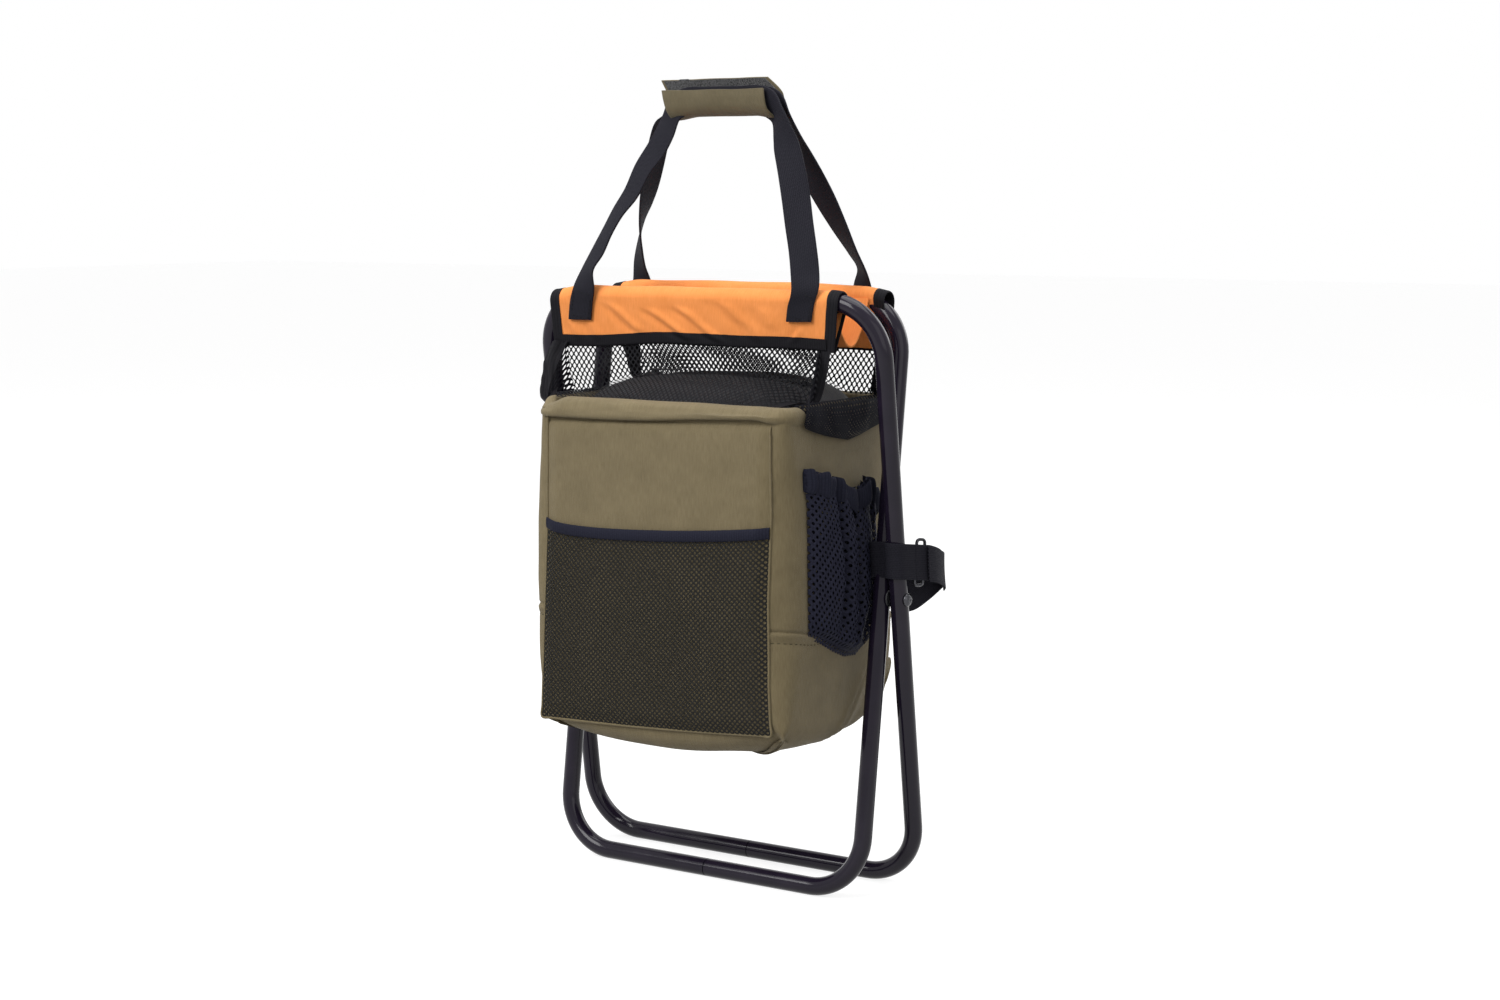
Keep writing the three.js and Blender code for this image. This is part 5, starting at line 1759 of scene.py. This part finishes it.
@dataclass
class Pockets:
    """The slip pocket on the front and the two side pockets, all of net with bound mouths."""

    bag: Bag
    mouth_line: Table = (
        (0, 386), (0.12, 382), (0.24, 378), (0.36, 374), (0.47, 365.5), (0.54, 360), (0.63, 364), (0.72, 370),
        (0.79, 372), (0.87, 365), (0.95, 356.5), (1, 349),
    )
    foot_line: Table = ((0, 239), (0.2, 231), (0.4, 221.5), (0.6, 213.7), (0.8, 212), (1, 222.7))
    front_line: Table = ((239, -79), (352, -82), (386, -88))
    rear_line: Table = ((222, 21), (255, 29), (293, 34), (329, 31), (349, 32))
    valleys: Table = ((0.33, 0.04), (0.56, 0.035), (0.78, 0.04))

    def build(self) -> None:
        """Builds the pockets."""
        self._slip()
        for hand in Hand:
            self._pouch(hand)
            self._elastic(hand)

    def slip_mouth(self, u: float) -> float:
        """The height of the slip pocket's upper edge."""
        return 324.5 + 5.5 * (1 - u) ** 12 + 13 * u**2.2

    def slip_out(self, u: float, z: float) -> float:
        """How far the slip pocket's net stands out, loose on the panel.

        Args:
            u: The share from the left to the right.
            z: The place's height.

        Returns:
            The distance in millimetres.
        """
        v = (z - 150) / 175
        fold = 1.5 * bump(u, 0.9 - 0.3 * v, 0.05) + 1.2 * bump(u, 0.74 + 0.14 * v, 0.05)
        fold += 1.0 * bump(u, 0.2 + 0.1 * v, 0.05)
        edge = min(u, 1 - u) * PANEL_WIDTH
        loose = 0.9 + fold * math.sin(math.pi * unit(v)) + 0.5 * ripple(u * PANEL_WIDTH, 0, z, 45, 21)
        return self.bag.stuffed(u, z) + 0.7 + max(0.0, loose) * smooth(0, 12, edge) * smooth(150, 162, z)

    def _slip(self) -> None:
        """The slip pocket: net on the panel, with a bound edge."""
        bag = self.bag

        def place(u: float, v: float) -> Vector:
            """A point of the net."""
            low = bag.panel_edge(u)[0] + 0.5
            z = low + (self.slip_mouth(u) - 5 - low) * v
            return bag.panel_spot(u, z, self.slip_out(u, z))

        def band(u: float, v: float) -> Vector:
            """A point round the bound edge."""
            angle = 2 * math.pi * v
            z = self.slip_mouth(u) - 5
            out = self.slip_out(u, z) + 0.8 + 1.3 * math.cos(angle)
            return bag.panel_spot(u, z, out) + Vector((0, 0, 5.0 * math.sin(angle)))

        flat = (PANEL_WIDTH, 176.0)
        piece = sheet_of("slip_pocket_mesh", (100, 76), flat, place)
        shade(piece)
        ride(piece, Body.BAG, Finish.SLIP_NET, "slip_pocket_net")
        cloth(piece, flat, "stretched", "bag_front_panel")
        edge = (PANEL_WIDTH, 24.0)
        binding = sheet_of("slip_pocket_edge", (100, 16), edge, band, True)
        shade(binding, 70)
        ride(binding, Body.BAG, Finish.POCKET_BINDING, "slip_pocket_binding")
        cloth(binding, edge, "folded", "slip_pocket_mesh")

    def pouch(self, sign: int, u: float, v: float, deep: float = 1.0) -> Vector:
        """A point of a side pocket.

        Args:
            sign: 1 for the right side and -1 for the left.
            u: The place from its front edge to its rear edge.
            v: The place from its foot to its mouth.
            deep: How full it stands out.

        Returns:
            The point.
        """
        foot, mouth = read(self.foot_line, u), read(self.mouth_line, u)
        z = foot + (mouth - foot) * v
        front, rear = read(self.front_line, z), read(self.rear_line, z)
        y = front + (rear - front) * u
        arch = math.sin(math.pi * unit(u)) ** 0.5
        belly = 9 + 11 * math.sin(math.pi * min(1.0, 0.12 + v * 0.8)) ** 0.8
        sway = 0.035 * math.sin(5 * v + 9 * u)
        dip = sum(bump(u + sway, centre, width) for centre, width in self.valleys)
        fold = 2.2 * ripple(u * 120, 0, z, 22, 31) + 1.3 * ripple(u * 120, 0, z, 9, 35)
        out = (belly - 9.5 * dip * smooth(0, 0.2, v) + fold) * arch * smooth(0, 0.09, v) * deep
        return Vector((sign * (self.bag.half_width + 2.2 + max(0.4, out)), y, z))

    def _pouch(self, hand: Hand) -> None:
        """The pouch of net in upright folds, with a second layer behind it. That layer's darker net is painted shade of
        the pocket's inside.

        Args:
            hand: Left or right.
        """
        sign, label = hand.value, hand.label

        def place(u: float, v: float) -> Vector:
            """A point of the outer layer."""
            return self.pouch(sign, u, v)

        def behind(u: float, v: float) -> Vector:
            """A point of the layer behind."""
            return self.pouch(sign, 0.02 + 0.96 * u, 0.03 + 0.94 * v, 0.45) + Vector((-0.6 * sign, 0, 0))

        for name, spot, finish, flat in (
            (f"{label}_pocket_pouch", place, Finish.POCKET_NET, (170.0, 150.0)),
            (f"{label}_pocket_back", behind, Finish.PAINTED_SHADE_BACK_NET, (130.0, 130.0)),
        ):
            piece = sheet_of(name, (110, 72), flat, spot, sign < 0)
            shade(piece, 80)
            nodes = (f"{label}_pocket_net",) if spot is place else ()
            ride(piece, Body.BAG, finish, *nodes)
            cloth(piece, flat, "gathered", "bag_shell_cloth")

    def _elastic(self, hand: Hand) -> None:
        """The crumpled elastic binding round a side pocket's mouth.

        Args:
            hand: Left or right.
        """
        sign, label = hand.value, hand.label

        def band(u: float, v: float) -> Vector:
            """A point round the binding."""
            angle = 2 * math.pi * v
            spot = self.pouch(sign, u, 0.93)
            frill = math.sin(2 * math.pi * 6.5 * u + 2 * math.sin(7 * u))
            frill += 0.8 * ripple(u * 130, 9 * math.sin(angle), 0, 11, 77)
            up = 10.0 * math.sin(angle) * (1 + 0.12 * frill)
            out = 2.0 * math.cos(angle) + 1.6 * frill + 1.5 * math.sin(math.pi * u)
            return spot + Vector((sign * max(out, -spot.x * sign + self.bag.half_width + 0.8), 1.2 * frill, up))

        flat = (160.0, 44.0)
        binding = sheet_of(f"{label}_pocket_edge", (150, 22), flat, band, sign > 0)
        shade(binding, 70)
        ride(binding, Body.BAG, Finish.POCKET_BINDING, f"{label}_pocket_binding")
        cloth(binding, flat, "gathered", f"{label}_pocket_pouch")


@dataclass
class Nets:
    """The nets that close the space between the seat and the bag's mouth."""

    bag: Bag
    seat: SeatCloth
    tops: dict[Side, tuple[float, float]] = field(
        default_factory=lambda: {Side.FRONT: (-151.0, 120.0), Side.REAR: (-134.0, 132.0)}
    )
    feet: tuple[float, float] = (-117.0, 113.0)
    front_left: Run = ((-122, -100, 431), (-140, -82, 435), (-153, -63, 449), (-159, -51, 466), (-157, -41, 482))

    def build(self) -> None:
        """Builds the two nets with their edge tapes, and the slack side nets."""
        for side in Side:
            self._wall(side)
            for hand in Hand:
                self._edge(side, hand)
                self._slack(side, hand)

    def lid_level(self, x: float, y: float) -> float:
        """The height at which a net lies on the lid or the border."""
        return max(self.bag.crown(x, y) + 1.5, self.bag.top + 9.3)

    def column(self, side: Side, share: float) -> Path:
        """The way of a net from its foot on the border to the hem, at a share across it.

        Args:
            side: The frame.
            share: The place across the net, from 0 to 1.

        Returns:
            The net's way there.
        """
        (top_left, top_right), (foot_left, foot_right) = self.tops[side], self.feet
        high_x = top_left + (top_right - top_left) * share
        low_x = foot_left + (foot_right - foot_left) * share
        hem = self.seat.foot(side, high_x)
        root = self.bag.front + 10 if side is Side.FRONT else self.bag.rear - 10
        points = [Vector((low_x, root, self.bag.top + 8.8))]
        for t, lift in ((0.25, 0.2), (0.5, 0.3), (0.75, 0.6), (0.93, 2.5)):
            x, y = low_x + (high_x - low_x) * 0.7 * t, root + (hem.y - side.value * 2 - root) * t
            loose = 1.1 + 1.1 * math.sin(7 * share + 3 * t + side.value)
            points.append(Vector((x, y, self.lid_level(x, y) + lift + loose * math.sin(math.pi * t))))
        last = points[-1]
        for t in (0.35, 0.7):
            spot = last.lerp(hem, t)
            spot.y -= side.value * (1.5 + 1.5 * math.sin(9 * share + 4 * t)) * math.sin(math.pi * t)
            points.append(spot)
        points.append(hem)
        return Path(points, 40)

    def span(self, side: Side) -> tuple[Vector, Vector]:
        """Where a net follows the frame, and where it follows the bag, in metres."""
        top, low = self.seat.foot(side, 0), self.column(side, 0.5).at(0)
        return at(0, top.y, top.z - 2), at(0, low.y, low.z)

    def _wall(self, side: Side) -> None:
        """A net from the border over the lid and up to a hem.

        Args:
            side: The frame.
        """
        columns: dict[float, Path] = {}

        def place(u: float, v: float) -> Vector:
            """A point of the net."""
            if u not in columns:
                columns[u] = self.column(side, u)
            return columns[u].at(v)

        rise = self.column(side, 0.5).length
        flat = (self.tops[side][1] - self.tops[side][0], rise)
        piece = sheet_of(f"{side.label}_mesh_wall", (110, 44), flat, place, side is Side.REAR)
        shade(piece)
        bridge(piece, (side.body, Body.BAG), self.span(side), Finish.NET, f"{side.label}_net")
        cloth(piece, flat, "stretched", f"{side.label}_seat_hem", "bag_mouth_roll")

    def _edge(self, side: Side, hand: Hand) -> None:
        """The tape or gathered net down one edge of a net.

        Args:
            side: The frame.
            hand: Left or right.
        """
        sign, label = hand.value, hand.label
        net = self.column(side, 0.0 if sign < 0 else 1.0)
        width = {(Side.FRONT, Hand.LEFT): 20.0, (Side.REAR, Hand.LEFT): 16.0}.get((side, hand), 13.0)
        shares = (0, 0.25, 0.5, 0.75, 1.0)
        run = [net.at(t) + Vector((sign * width * 0.32 * smooth(0.1, 0.9, t), 0, 0.8)) for t in shares]
        path = Path(self.front_left if side is Side.FRONT and sign < 0 else run)

        def place(u: float, v: float) -> Vector:
            """A point of the tape."""
            spot = path.at(v)
            fold = (u - 0.5) * width
            tuck = (1.6 * math.sin(9 * u + 5 * v) + 1.2 * ripple(fold, 60 * v, 0, 7, 60 + sign)) * (width > 14)
            lean = 0.9 * math.sin(math.pi * v) * (sign < 0 and side is Side.REAR)
            way = Vector((math.cos(lean), -side.value * 0.5 * math.sin(lean), 0.5 * math.sin(lean)))
            return spot + way * fold * (0.75 + 0.25 * v) + Vector((0, -side.value * (1.2 + tuck), 0.4 * tuck))

        flat = (width * 0.9, path.length)
        piece = sheet_of(f"{side.label}_{label}_mesh_edge", (16, 48), flat, place, side is Side.REAR)
        thicken(piece, 0.9, 0)
        shade(piece)
        bridge(piece, (side.body, Body.BAG), self.span(side), Finish.BINDING)
        cloth(piece, flat, "stretched", f"{side.label}_mesh_wall")

    def _slack(self, side: Side, hand: Hand) -> None:
        """Half a slack side net, from the bag's corner to the middle of its side, hanging out over the border.

        Args:
            side: The frame.
            hand: Left or right.
        """
        sign, label = hand.value, hand.label
        net = self.column(side, 0.0 if sign < 0 else 1.0)
        root = net.at(0).y
        centre = self.bag.middle
        top = self.bag.top + 10.0

        def hang(u: float, v: float) -> Vector:
            """A point of the part that hangs out over the border."""
            y = root + (centre - root) * u + 5 * math.sin(2 * math.pi * v) * (1 - u)
            over = smooth(0, 0.16, v)
            fall = math.sin(math.pi * unit((v - 0.1) / 0.9) ** 0.85)
            ruck = 0.8 * math.sin(2 * math.pi * (2.2 * u + 0.8 * v)) + 1.2 * ripple(y, 60 * v, 0, 13, 40 + sign)
            x = 122 + 10.5 * over + 5.0 * smooth(0.4, 0.9, v) + 0.6 * ruck * smooth(0.1, 0.3, v)
            z = top + 1.5 * math.sin(math.pi * over) - 34.0 * max(u, 0.0) ** 0.38 * fall
            return Vector((sign * x, y, z))

        def place(u: float, v: float) -> Vector:
            """A point of the net, from the wall's edge into the hanging part."""
            return net.at(v).lerp(hang(u, v), smooth(0, 0.2, u))

        flat = (88.0, 92.0)
        piece = sheet_of(f"{side.label}_{label}_slack_mesh", (72, 56), flat, place, (sign > 0) == (side is Side.REAR))
        shade(piece)
        node = (f"{label}_net",) if side is Side.FRONT else ()
        span = at(0, 0, self.seat.foot(side, 0).z - 2), at(0, 0, top + 2)
        bridge(piece, (side.body, Body.BAG), span, Finish.DENSE_NET, *node)
        cloth(piece, flat, "gathered", f"{side.label}_seat_hem", "bag_mouth_roll")


# Straps


@dataclass
class Strap:
    """A ribbon of webbing through a row of places, each with the direction of its width."""

    name: str
    width: float
    places: Sequence[tuple[Vector, Vector]]
    steps: int = 120
    thickness: float = 1.8

    def build(self) -> tuple[Piece, float]:
        """Builds the ribbon.

        Returns:
            The ribbon, and its length in millimetres.
        """
        path = Path([place for place, _ in self.places], 200)
        widths = [Vector(w).normalized() for _, w in self.places]

        def place(u: float, v: float) -> Vector:
            """A point of the ribbon."""
            step = path.step(v)
            across = spline(widths, step).normalized()
            ahead = (path.at(min(v + 0.004, 1)) - path.at(max(v - 0.004, 0))).normalized()
            cup = across.cross(ahead).normalized() * 0.5 * (1 - (2 * u - 1) ** 2)
            return path.at(v) + across * (u - 0.5) * self.width + cup

        piece = sheet_of(self.name, (10, self.steps), (self.width, path.length), place)
        thicken(piece, self.thickness, 0)
        round_off(piece, 0.35, 2, 60)
        shade(piece, 50)
        return piece, path.length


Station = tuple[float, float, float, float, float, float]


def leg_runs() -> dict[tuple[Side, Hand], tuple[Station, ...]]:
    """Each handle leg from its tab up into the grip: the place, then the direction of the width.

    Returns:
        The stations of each leg, by its frame and its hand.
    """
    return {
        (Side.FRONT, Hand.LEFT): (
            (-132.2, -45.1, 502.5, 0.99, 0, 0), (-129.2, -47.1, 517, 0.99, 0, -0.03),
            (-124.6, -49.2, 531, 0.99, -0.11, -0.04), (-122.6, -45.2, 548.5, 0.83, -0.54, -0.10),
            (-114.3, -40.1, 565.7, 0.80, -0.55, -0.25), (-107.0, -35.6, 583, 0.78, -0.60, -0.22),
            (-98.5, -31.2, 600, 0.78, -0.57, -0.27), (-87.5, -26.1, 617, 0.83, -0.45, -0.32),
            (-78.6, -20.8, 638, 0.86, -0.37, -0.35), (-67.1, -16.2, 655.6, 0.88, -0.28, -0.40),
            (-60.0, -12.6, 670, 0.92, -0.28, -0.28), (-55.6, -8.6, 684, 0.92, -0.36, -0.25),
            (-48.5, -8.4, 694, 0.62, -0.15, -0.75), (-36, -8, 698, 0.1, 0, -1), (-22, -7.5, 698, 0, 0, -1),
            (0, -7.3, 698, 0, 0, -1), (22, -7.5, 698, 0, 0, -1),
        ),
        (Side.FRONT, Hand.RIGHT): (
            (101.8, -45.8, 507, 0.98, 0, 0.02), (105, -47.6, 521, 0.98, 0.1, 0.08),
            (109.9, -48.9, 534.6, 0.96, 0.22, 0.13), (106.9, -44.2, 550, 0.92, 0.36, 0.11),
            (101.6, -39.2, 569, 0.93, 0.29, 0.17), (94.6, -33.6, 590.3, 0.92, 0.34, 0.20),
            (87.5, -27.5, 612.9, 0.88, 0.42, 0.17), (79.4, -21.6, 636, 0.92, 0.29, 0.28),
            (71.4, -16.5, 655, 0.91, 0.10, 0.37), (64.7, -12.9, 668.5, 0.85, -0.25, 0.47),
            (57.2, -9.2, 684, 0.68, -0.50, 0.50), (48.5, -8.6, 694, 0.45, -0.2, 0.87),
            (36, -8, 698, 0.1, 0, 1), (22, -7.5, 698, 0, 0, 1),
        ),
        (Side.REAR, Hand.RIGHT): (
            (112.0, 45.3, 507, 0.98, 0, -0.1), (111.3, 47.3, 521, 0.97, -0.15, -0.1),
            (110.7, 48.7, 534.8, 0.90, -0.38, -0.16), (111.8, 44.9, 549.3, 0.72, -0.68, -0.10),
            (104.6, 40.2, 566, 0.70, -0.70, 0.14), (93.6, 34.0, 589.5, 0.83, -0.48, 0.26),
            (84.4, 28.4, 609.8, 0.89, -0.30, 0.33), (76.2, 23.4, 627.5, 0.91, -0.24, 0.33),
            (68.5, 18.6, 646, 0.89, -0.38, 0.26), (60.6, 14.0, 664.5, 0.82, -0.55, 0.19),
            (53.2, 9.2, 683.5, 0.75, -0.62, 0.22), (45.5, 8.7, 693.5, 0.5, -0.3, 0.8),
            (34, 8.2, 698, 0.1, 0, 1), (20, 7.8, 698, 0, 0, 1),
        ),
        (Side.REAR, Hand.LEFT): (
            (-129.5, 45.1, 505, 0.99, 0, 0), (-129.1, 47.3, 520, 0.99, -0.1, -0.03),
            (-128.7, 48.6, 535.4, 0.96, -0.26, -0.1), (-127.6, 43.6, 552, 0.82, -0.50, -0.25),
            (-123.6, 38.8, 570, 0.63, -0.70, -0.34), (-118.2, 34.2, 588, 0.38, -0.84, -0.38),
            (-111.4, 30.2, 603, 0.12, -0.95, -0.32), (-104.2, 26.0, 619, -0.08, -0.97, -0.22),
            (-96.6, 21.3, 636, -0.18, -0.97, -0.18), (-86.8, 15.3, 658.8, -0.23, -0.96, -0.15),
            (-76.4, 9.8, 680.5, -0.15, -0.97, -0.19), (-66, 8.8, 692.5, -0.15, -0.75, -0.6),
            (-52, 8.6, 698, -0.05, -0.2, -1), (-36, 8.2, 698.5, 0, 0, -1), (-8, 7.9, 698.3, 0, 0, -1),
            (20, 7.8, 698, 0, 0, -1),
        ),
    }


@dataclass
class Handles:
    """The two carry handles and the cloth grip that holds them together."""

    width: float = 25.0
    legs: dict[tuple[Side, Hand], tuple[Station, ...]] = field(default_factory=leg_runs)

    def build(self) -> None:
        """Builds both handles with their sewn tabs, and the grip."""
        for side in Side:
            for hand in Hand:
                self._leg(side, hand)
            self._tab_stitches(side)
        self._grip()

    def _leg(self, side: Side, hand: Hand) -> None:
        """One leg of webbing from its tab on the sleeve up into the grip, with its half of the run inside.

        Args:
            side: The frame.
            hand: Left or right.
        """
        sign, label = hand.value, hand.label
        row = [(Vector(station[:3]), Vector(station[3:])) for station in self.legs[side, hand]]
        strap, length = Strap(f"{side.label}_{label}_handle_leg", self.width, row, 150).build()
        body = Body.FRONT_HANDLE if side is Side.FRONT else Body.REAR_HANDLE
        hinge = row[2][0]
        nodes = (f"{side.label}_handle_tab_{label}",) + ((f"{side.label}_handle",) if sign < 0 else ())
        span = at(0, hinge.y, hinge.z - 3), at(0, hinge.y + side.value, hinge.z + 14)
        bridge(strap, (side.body, body), span, Finish.WEBBING, *nodes)
        cloth(strap, (self.width, length), "hung", f"{side.label}_seat_sleeve")

    def _tab_stitches(self, side: Side) -> None:
        """The stitched boxes that hold the tabs on the sleeve.

        Args:
            side: The frame.
        """
        runs = []
        for hand in Hand:
            low, _, high = (Vector(station[:3]) for station in self.legs[side, hand][:3])
            up = (high - low).normalized()
            across = Vector((up.z, 0, -up.x)).normalized()
            tall = (high - low).length - 4
            corners = [(-9.5, 2.5), (9.5, 2.5), (9.5, tall), (-9.5, tall), (-9.5, 2.5)]
            for (x0, d0), (x1, d1) in zip(corners, corners[1:]):
                run = []
                for i in range(9):
                    t = i / 8
                    spot = low + across * (x0 + (x1 - x0) * t) + up * (d0 + (d1 - d0) * t)
                    run.append((spot + Vector((0, -side.value * 1.7, 0)), Vector((0, -side.value, 0))))
                runs.append(run)
        ride(stitches(f"{side.label}_tab_stitches", runs), side.body, Finish.BLACK_THREAD)

    def _grip(self) -> None:
        """The grip: a stiffened cloth wrap, open at its top, with hook and loop tape inside."""
        stations = (
            (-62.5, 45.4, -13.4, 707.6), (-59.5, 47.4, -14.9, 699.5), (-56.5, 49.4, -14.2, 691),
            (-54.5, 52.6, -9, 685.4), (-55.0, 54.6, 0, 684.2), (-58, 52.5, 9, 686), (-66, 49.5, 13.6, 693.5),
            (-74, 47.5, 14.4, 706), (-81, 33, 13.2, 718.6),
        )
        left = [Vector((a, y, z)) for a, _, y, z in stations]
        right = [Vector((b, y, z)) for _, b, y, z in stations]
        girth, long = 84.0, 114.0

        def place(u: float, v: float) -> Vector:
            """A point of the wrap, along it and round from its front edge to its rear edge."""
            spot = spline(left, v).lerp(spline(right, v), u)
            end = abs(2 * u - 1)
            under = math.sin(math.pi * v)
            spot.z += (1.2 - 3.2 * smooth(0.55, 1, end)) * under + 0.9 * ripple(spot.x, v * girth, 0, 40, 33)
            spot.y *= 1 - 0.05 * (1 - end) * under
            spot.y += 0.6 * ripple(spot.x, v * girth, 0, 24, 51)
            return spot

        piece = sheet_of("grip_cloth", (80, 56), (long, girth), place)
        thicken(piece, 2.2, 0)
        round_off(piece, 0.6, 2, 60)
        shade(piece, 50)
        ride(piece, Body.FRONT_HANDLE, Finish.GRIP, "grip_wrap")
        cloth(piece, (long, girth), "folded", "front_left_handle_leg", "rear_left_handle_leg")
        for name, node, finish, first, last in (
            ("grip_hook_strip", "grip_hook_tape", Finish.HOOK, 0.015, 0.36),
            ("grip_loop_strip", "grip_loop_tape", Finish.PILE, 0.62, 0.985),
        ):
            def lining(u: float, v: float) -> Vector:
                """A point just inside the wrap."""
                spot = place(0.03 + 0.94 * u, first + (last - first) * v)
                return Vector((spot.x, spot.y * 0.87, spot.z + (1.2 if abs(spot.y) < 13 else 0)))

            flat = (long * 0.94, girth * (last - first))
            strip = sheet_of(name, (60, 20), flat, lining, True)
            thicken(strip, 0.9, 0)
            shade(strip)
            ride(strip, Body.FRONT_HANDLE, finish, node)
            cloth(strip, flat, "folded", "grip_cloth")


@dataclass
class Closure:
    """The strap round the right legs, its hanging tail and the wire ring on it."""

    width: float = 32.0
    height: float = 300.0
    bends: dict[Side, tuple[float, float]] = field(
        default_factory=lambda: {Side.FRONT: (-12.0, 3.0), Side.REAR: (30.0, 20.0)}
    )
    near: Run = (
        (149, 4, -2), (149.8, -3, -1), (153.5, -5.4, 0), (161, -6.2, 0.5), (167.5, -9.5, 1), (172, -14.2, 1.5),
        (179, -15.2, 1.5), (185.5, -10, 1), (190, 5, -1),
    )
    far: Run = (
        (190, 5, -1), (193.5, 20, -3), (194.5, 26, -4), (194, 40, -8), (190, 54, -13), (183, 63, -18), (172, 62, -28),
        (161, 49, -38), (152.5, 32, -36), (149.5, 18, -20), (149, 4, -2),
    )
    end: Run = ((195.6, 19, -4), (196.8, 30, -6), (195.6, 42, -10), (191.6, 56, -14.5), (185, 65.5, -19.5))

    def build(self) -> None:
        """Builds the band in two halves, the tail and the ring."""
        for name, side, run, steps, nodes, carriers in (
            ("near_band", Side.FRONT, self.near, 90, ("closure_strap",), ("outer_loop", "inner_loop")),
            ("far_band", Side.REAR, self.far, 90, (), ("outer_loop", "inner_loop")),
            ("tail", Side.REAR, self.end, 50, ("closure_strap_tail",), ("closure_far_band",)),
        ):
            strap, length = self._ribbon(f"closure_{name}", run, steps)
            moving, still = self.bends[side]
            span = at(0, moving, self.height), at(0, still, self.height)
            bridge(strap, (side.body, Body.BAG), span, Finish.WEBBING, *nodes)
            cloth(strap, (self.width, length), "hung", *carriers)
        self._ring()

    def _ribbon(self, name: str, run: Run, steps: int) -> tuple[Piece, float]:
        """A length of the strap through places given with their height above the strap's own.

        Args:
            name: The piece's name.
            run: The places, each with its height above the strap's own.
            steps: The cells along it.

        Returns:
            The ribbon, and its length in millimetres.
        """
        row = []
        for x, y, up in run:
            tip = 0.1 + 0.22 * smooth(-12, -36, up)
            row.append((Vector((x, y, self.height + up)), Vector((0, -tip, 1))))
        return Strap(name, self.width, row, steps, 1.4).build()

    def _ring(self) -> None:
        """The wire ring that the strap's end is sewn to, upright behind the band."""
        ring = BentLoop("closure_wire_ring", 1.4, 4.6, 20.0, 3.2, sides=14, bend_steps=8).build()
        ring.data.transform(Matrix.Rotation(1.2, 4, "Z"))
        ring.data.transform(Matrix.Rotation(-0.1, 4, "X"))
        ring.data.transform(Matrix.Translation(at(188.5, 15.5, self.height - 2.5)))
        ride(ring, Body.BAG, Finish.BLACK_STEEL, "closure_ring")


# The studio


@dataclass(frozen=True)
class Lamp:
    """A soft square lamp aimed at the bag."""

    name: str
    place: tuple[float, float, float]
    size: float
    power: float
    aim: float = 0.35

    def build(self) -> None:
        """Hangs the lamp."""
        lamp = bpy.data.lights.new(self.name, "AREA")
        lamp.size = self.size
        lamp.energy = self.power
        holder = bpy.data.objects.new(self.name, lamp)
        holder.location = self.place
        holder.rotation_mode = "QUATERNION"
        holder.rotation_quaternion = (Vector((0, 0, self.aim)) - Vector(self.place)).to_track_quat("-Z", "Y")
        bpy.context.scene.collection.objects.link(holder)


@dataclass
class Studio:
    """Camera, pale floor and soft lights."""

    lens: float = 57.18
    sensor: float = 36.0
    camera_place: tuple[float, float, float] = (1.170, -1.7772, 0.6144)
    camera_dip: float = 0.127
    camera_turn: float = 0.569
    floor_size: float = 30.0
    floor_tone: float = 0.3
    floor_glow: float = 0.78
    world_light: float = 0.55
    lamps: tuple[Lamp, ...] = (
        Lamp("key", (-0.9, -2.4, 2.3), 1.8, 98), Lamp("fill", (2.6, -1.4, 1.6), 2.2, 15),
        Lamp("top", (0.2, 0.2, 3.2), 2.4, 68), Lamp("rim", (0.8, 2.4, 1.6), 1.6, 20),
    )

    def build(self) -> None:
        """Sets up the view, the floor, the world and the lamps."""
        scene = bpy.context.scene
        scene.view_settings.view_transform = "Standard"
        camera = bpy.data.cameras.new("view")
        camera.lens = self.lens
        camera.sensor_width = self.sensor
        camera.sensor_fit = "HORIZONTAL"
        holder = bpy.data.objects.new("view", camera)
        scene.collection.objects.link(holder)
        holder.location = self.camera_place
        holder.rotation_euler = (QUARTER_TURN - self.camera_dip, 0, self.camera_turn)
        scene.camera = holder
        self._floor()
        self._world()
        for lamp in self.lamps:
            lamp.build()

    def seen(self, n: Nodes) -> Socket:
        """Is 1 for the rays of the camera, of mirrors and of clear pieces, and 0 for those that light a piece.

        Args:
            n: The helper for the tree.

        Returns:
            The socket.
        """
        path = n.add("LightPath").outputs
        direct = n.maths("MAXIMUM", path["Is Camera Ray"], path["Is Glossy Ray"])
        return n.maths("MAXIMUM", direct, path["Is Transmission Ray"])

    def _floor(self) -> None:
        """A white floor that shows white to the camera and keeps the object's shadow."""
        deselect()
        bpy.ops.mesh.primitive_plane_add(size=self.floor_size)
        floor = settle("studio_floor")
        material, n, _ = blank("studio_white")
        n.feed_all(n.tree.nodes["Principled BSDF"], {
            "Base Color": (*[self.floor_tone] * 3, 1), "Roughness": 0.9, "Specular IOR Level": 0.1,
            "Emission Color": (1, 1, 1, 1), "Emission Strength": n.maths("MULTIPLY", self.seen(n), self.floor_glow),
        })
        floor.data.materials.append(material)

    def _world(self) -> None:
        """An even world that is white where the camera sees it."""
        world = bpy.data.worlds.new("studio_world")
        bpy.context.scene.world = world
        world.use_nodes = True
        n = Nodes(world.node_tree)
        light = n.ranged(self.seen(n), 0.0, 1.0, self.world_light, 1.0)
        n.feed_all(n.tree.nodes["Background"], {"Color": (1, 1, 1, 1), "Strength": light})


def main() -> None:
    """Builds the stool's pieces in order, then the studio."""
    logging.basicConfig(level=logging.INFO)
    Studio().build()
    Frames().build()
    seat = SeatCloth()
    seat.build()
    bag = Bag()
    bag.build()
    Pockets(bag).build()
    Nets(bag, seat).build()
    Handles().build()
    Closure().build()


if __name__ == "__main__":
    main()
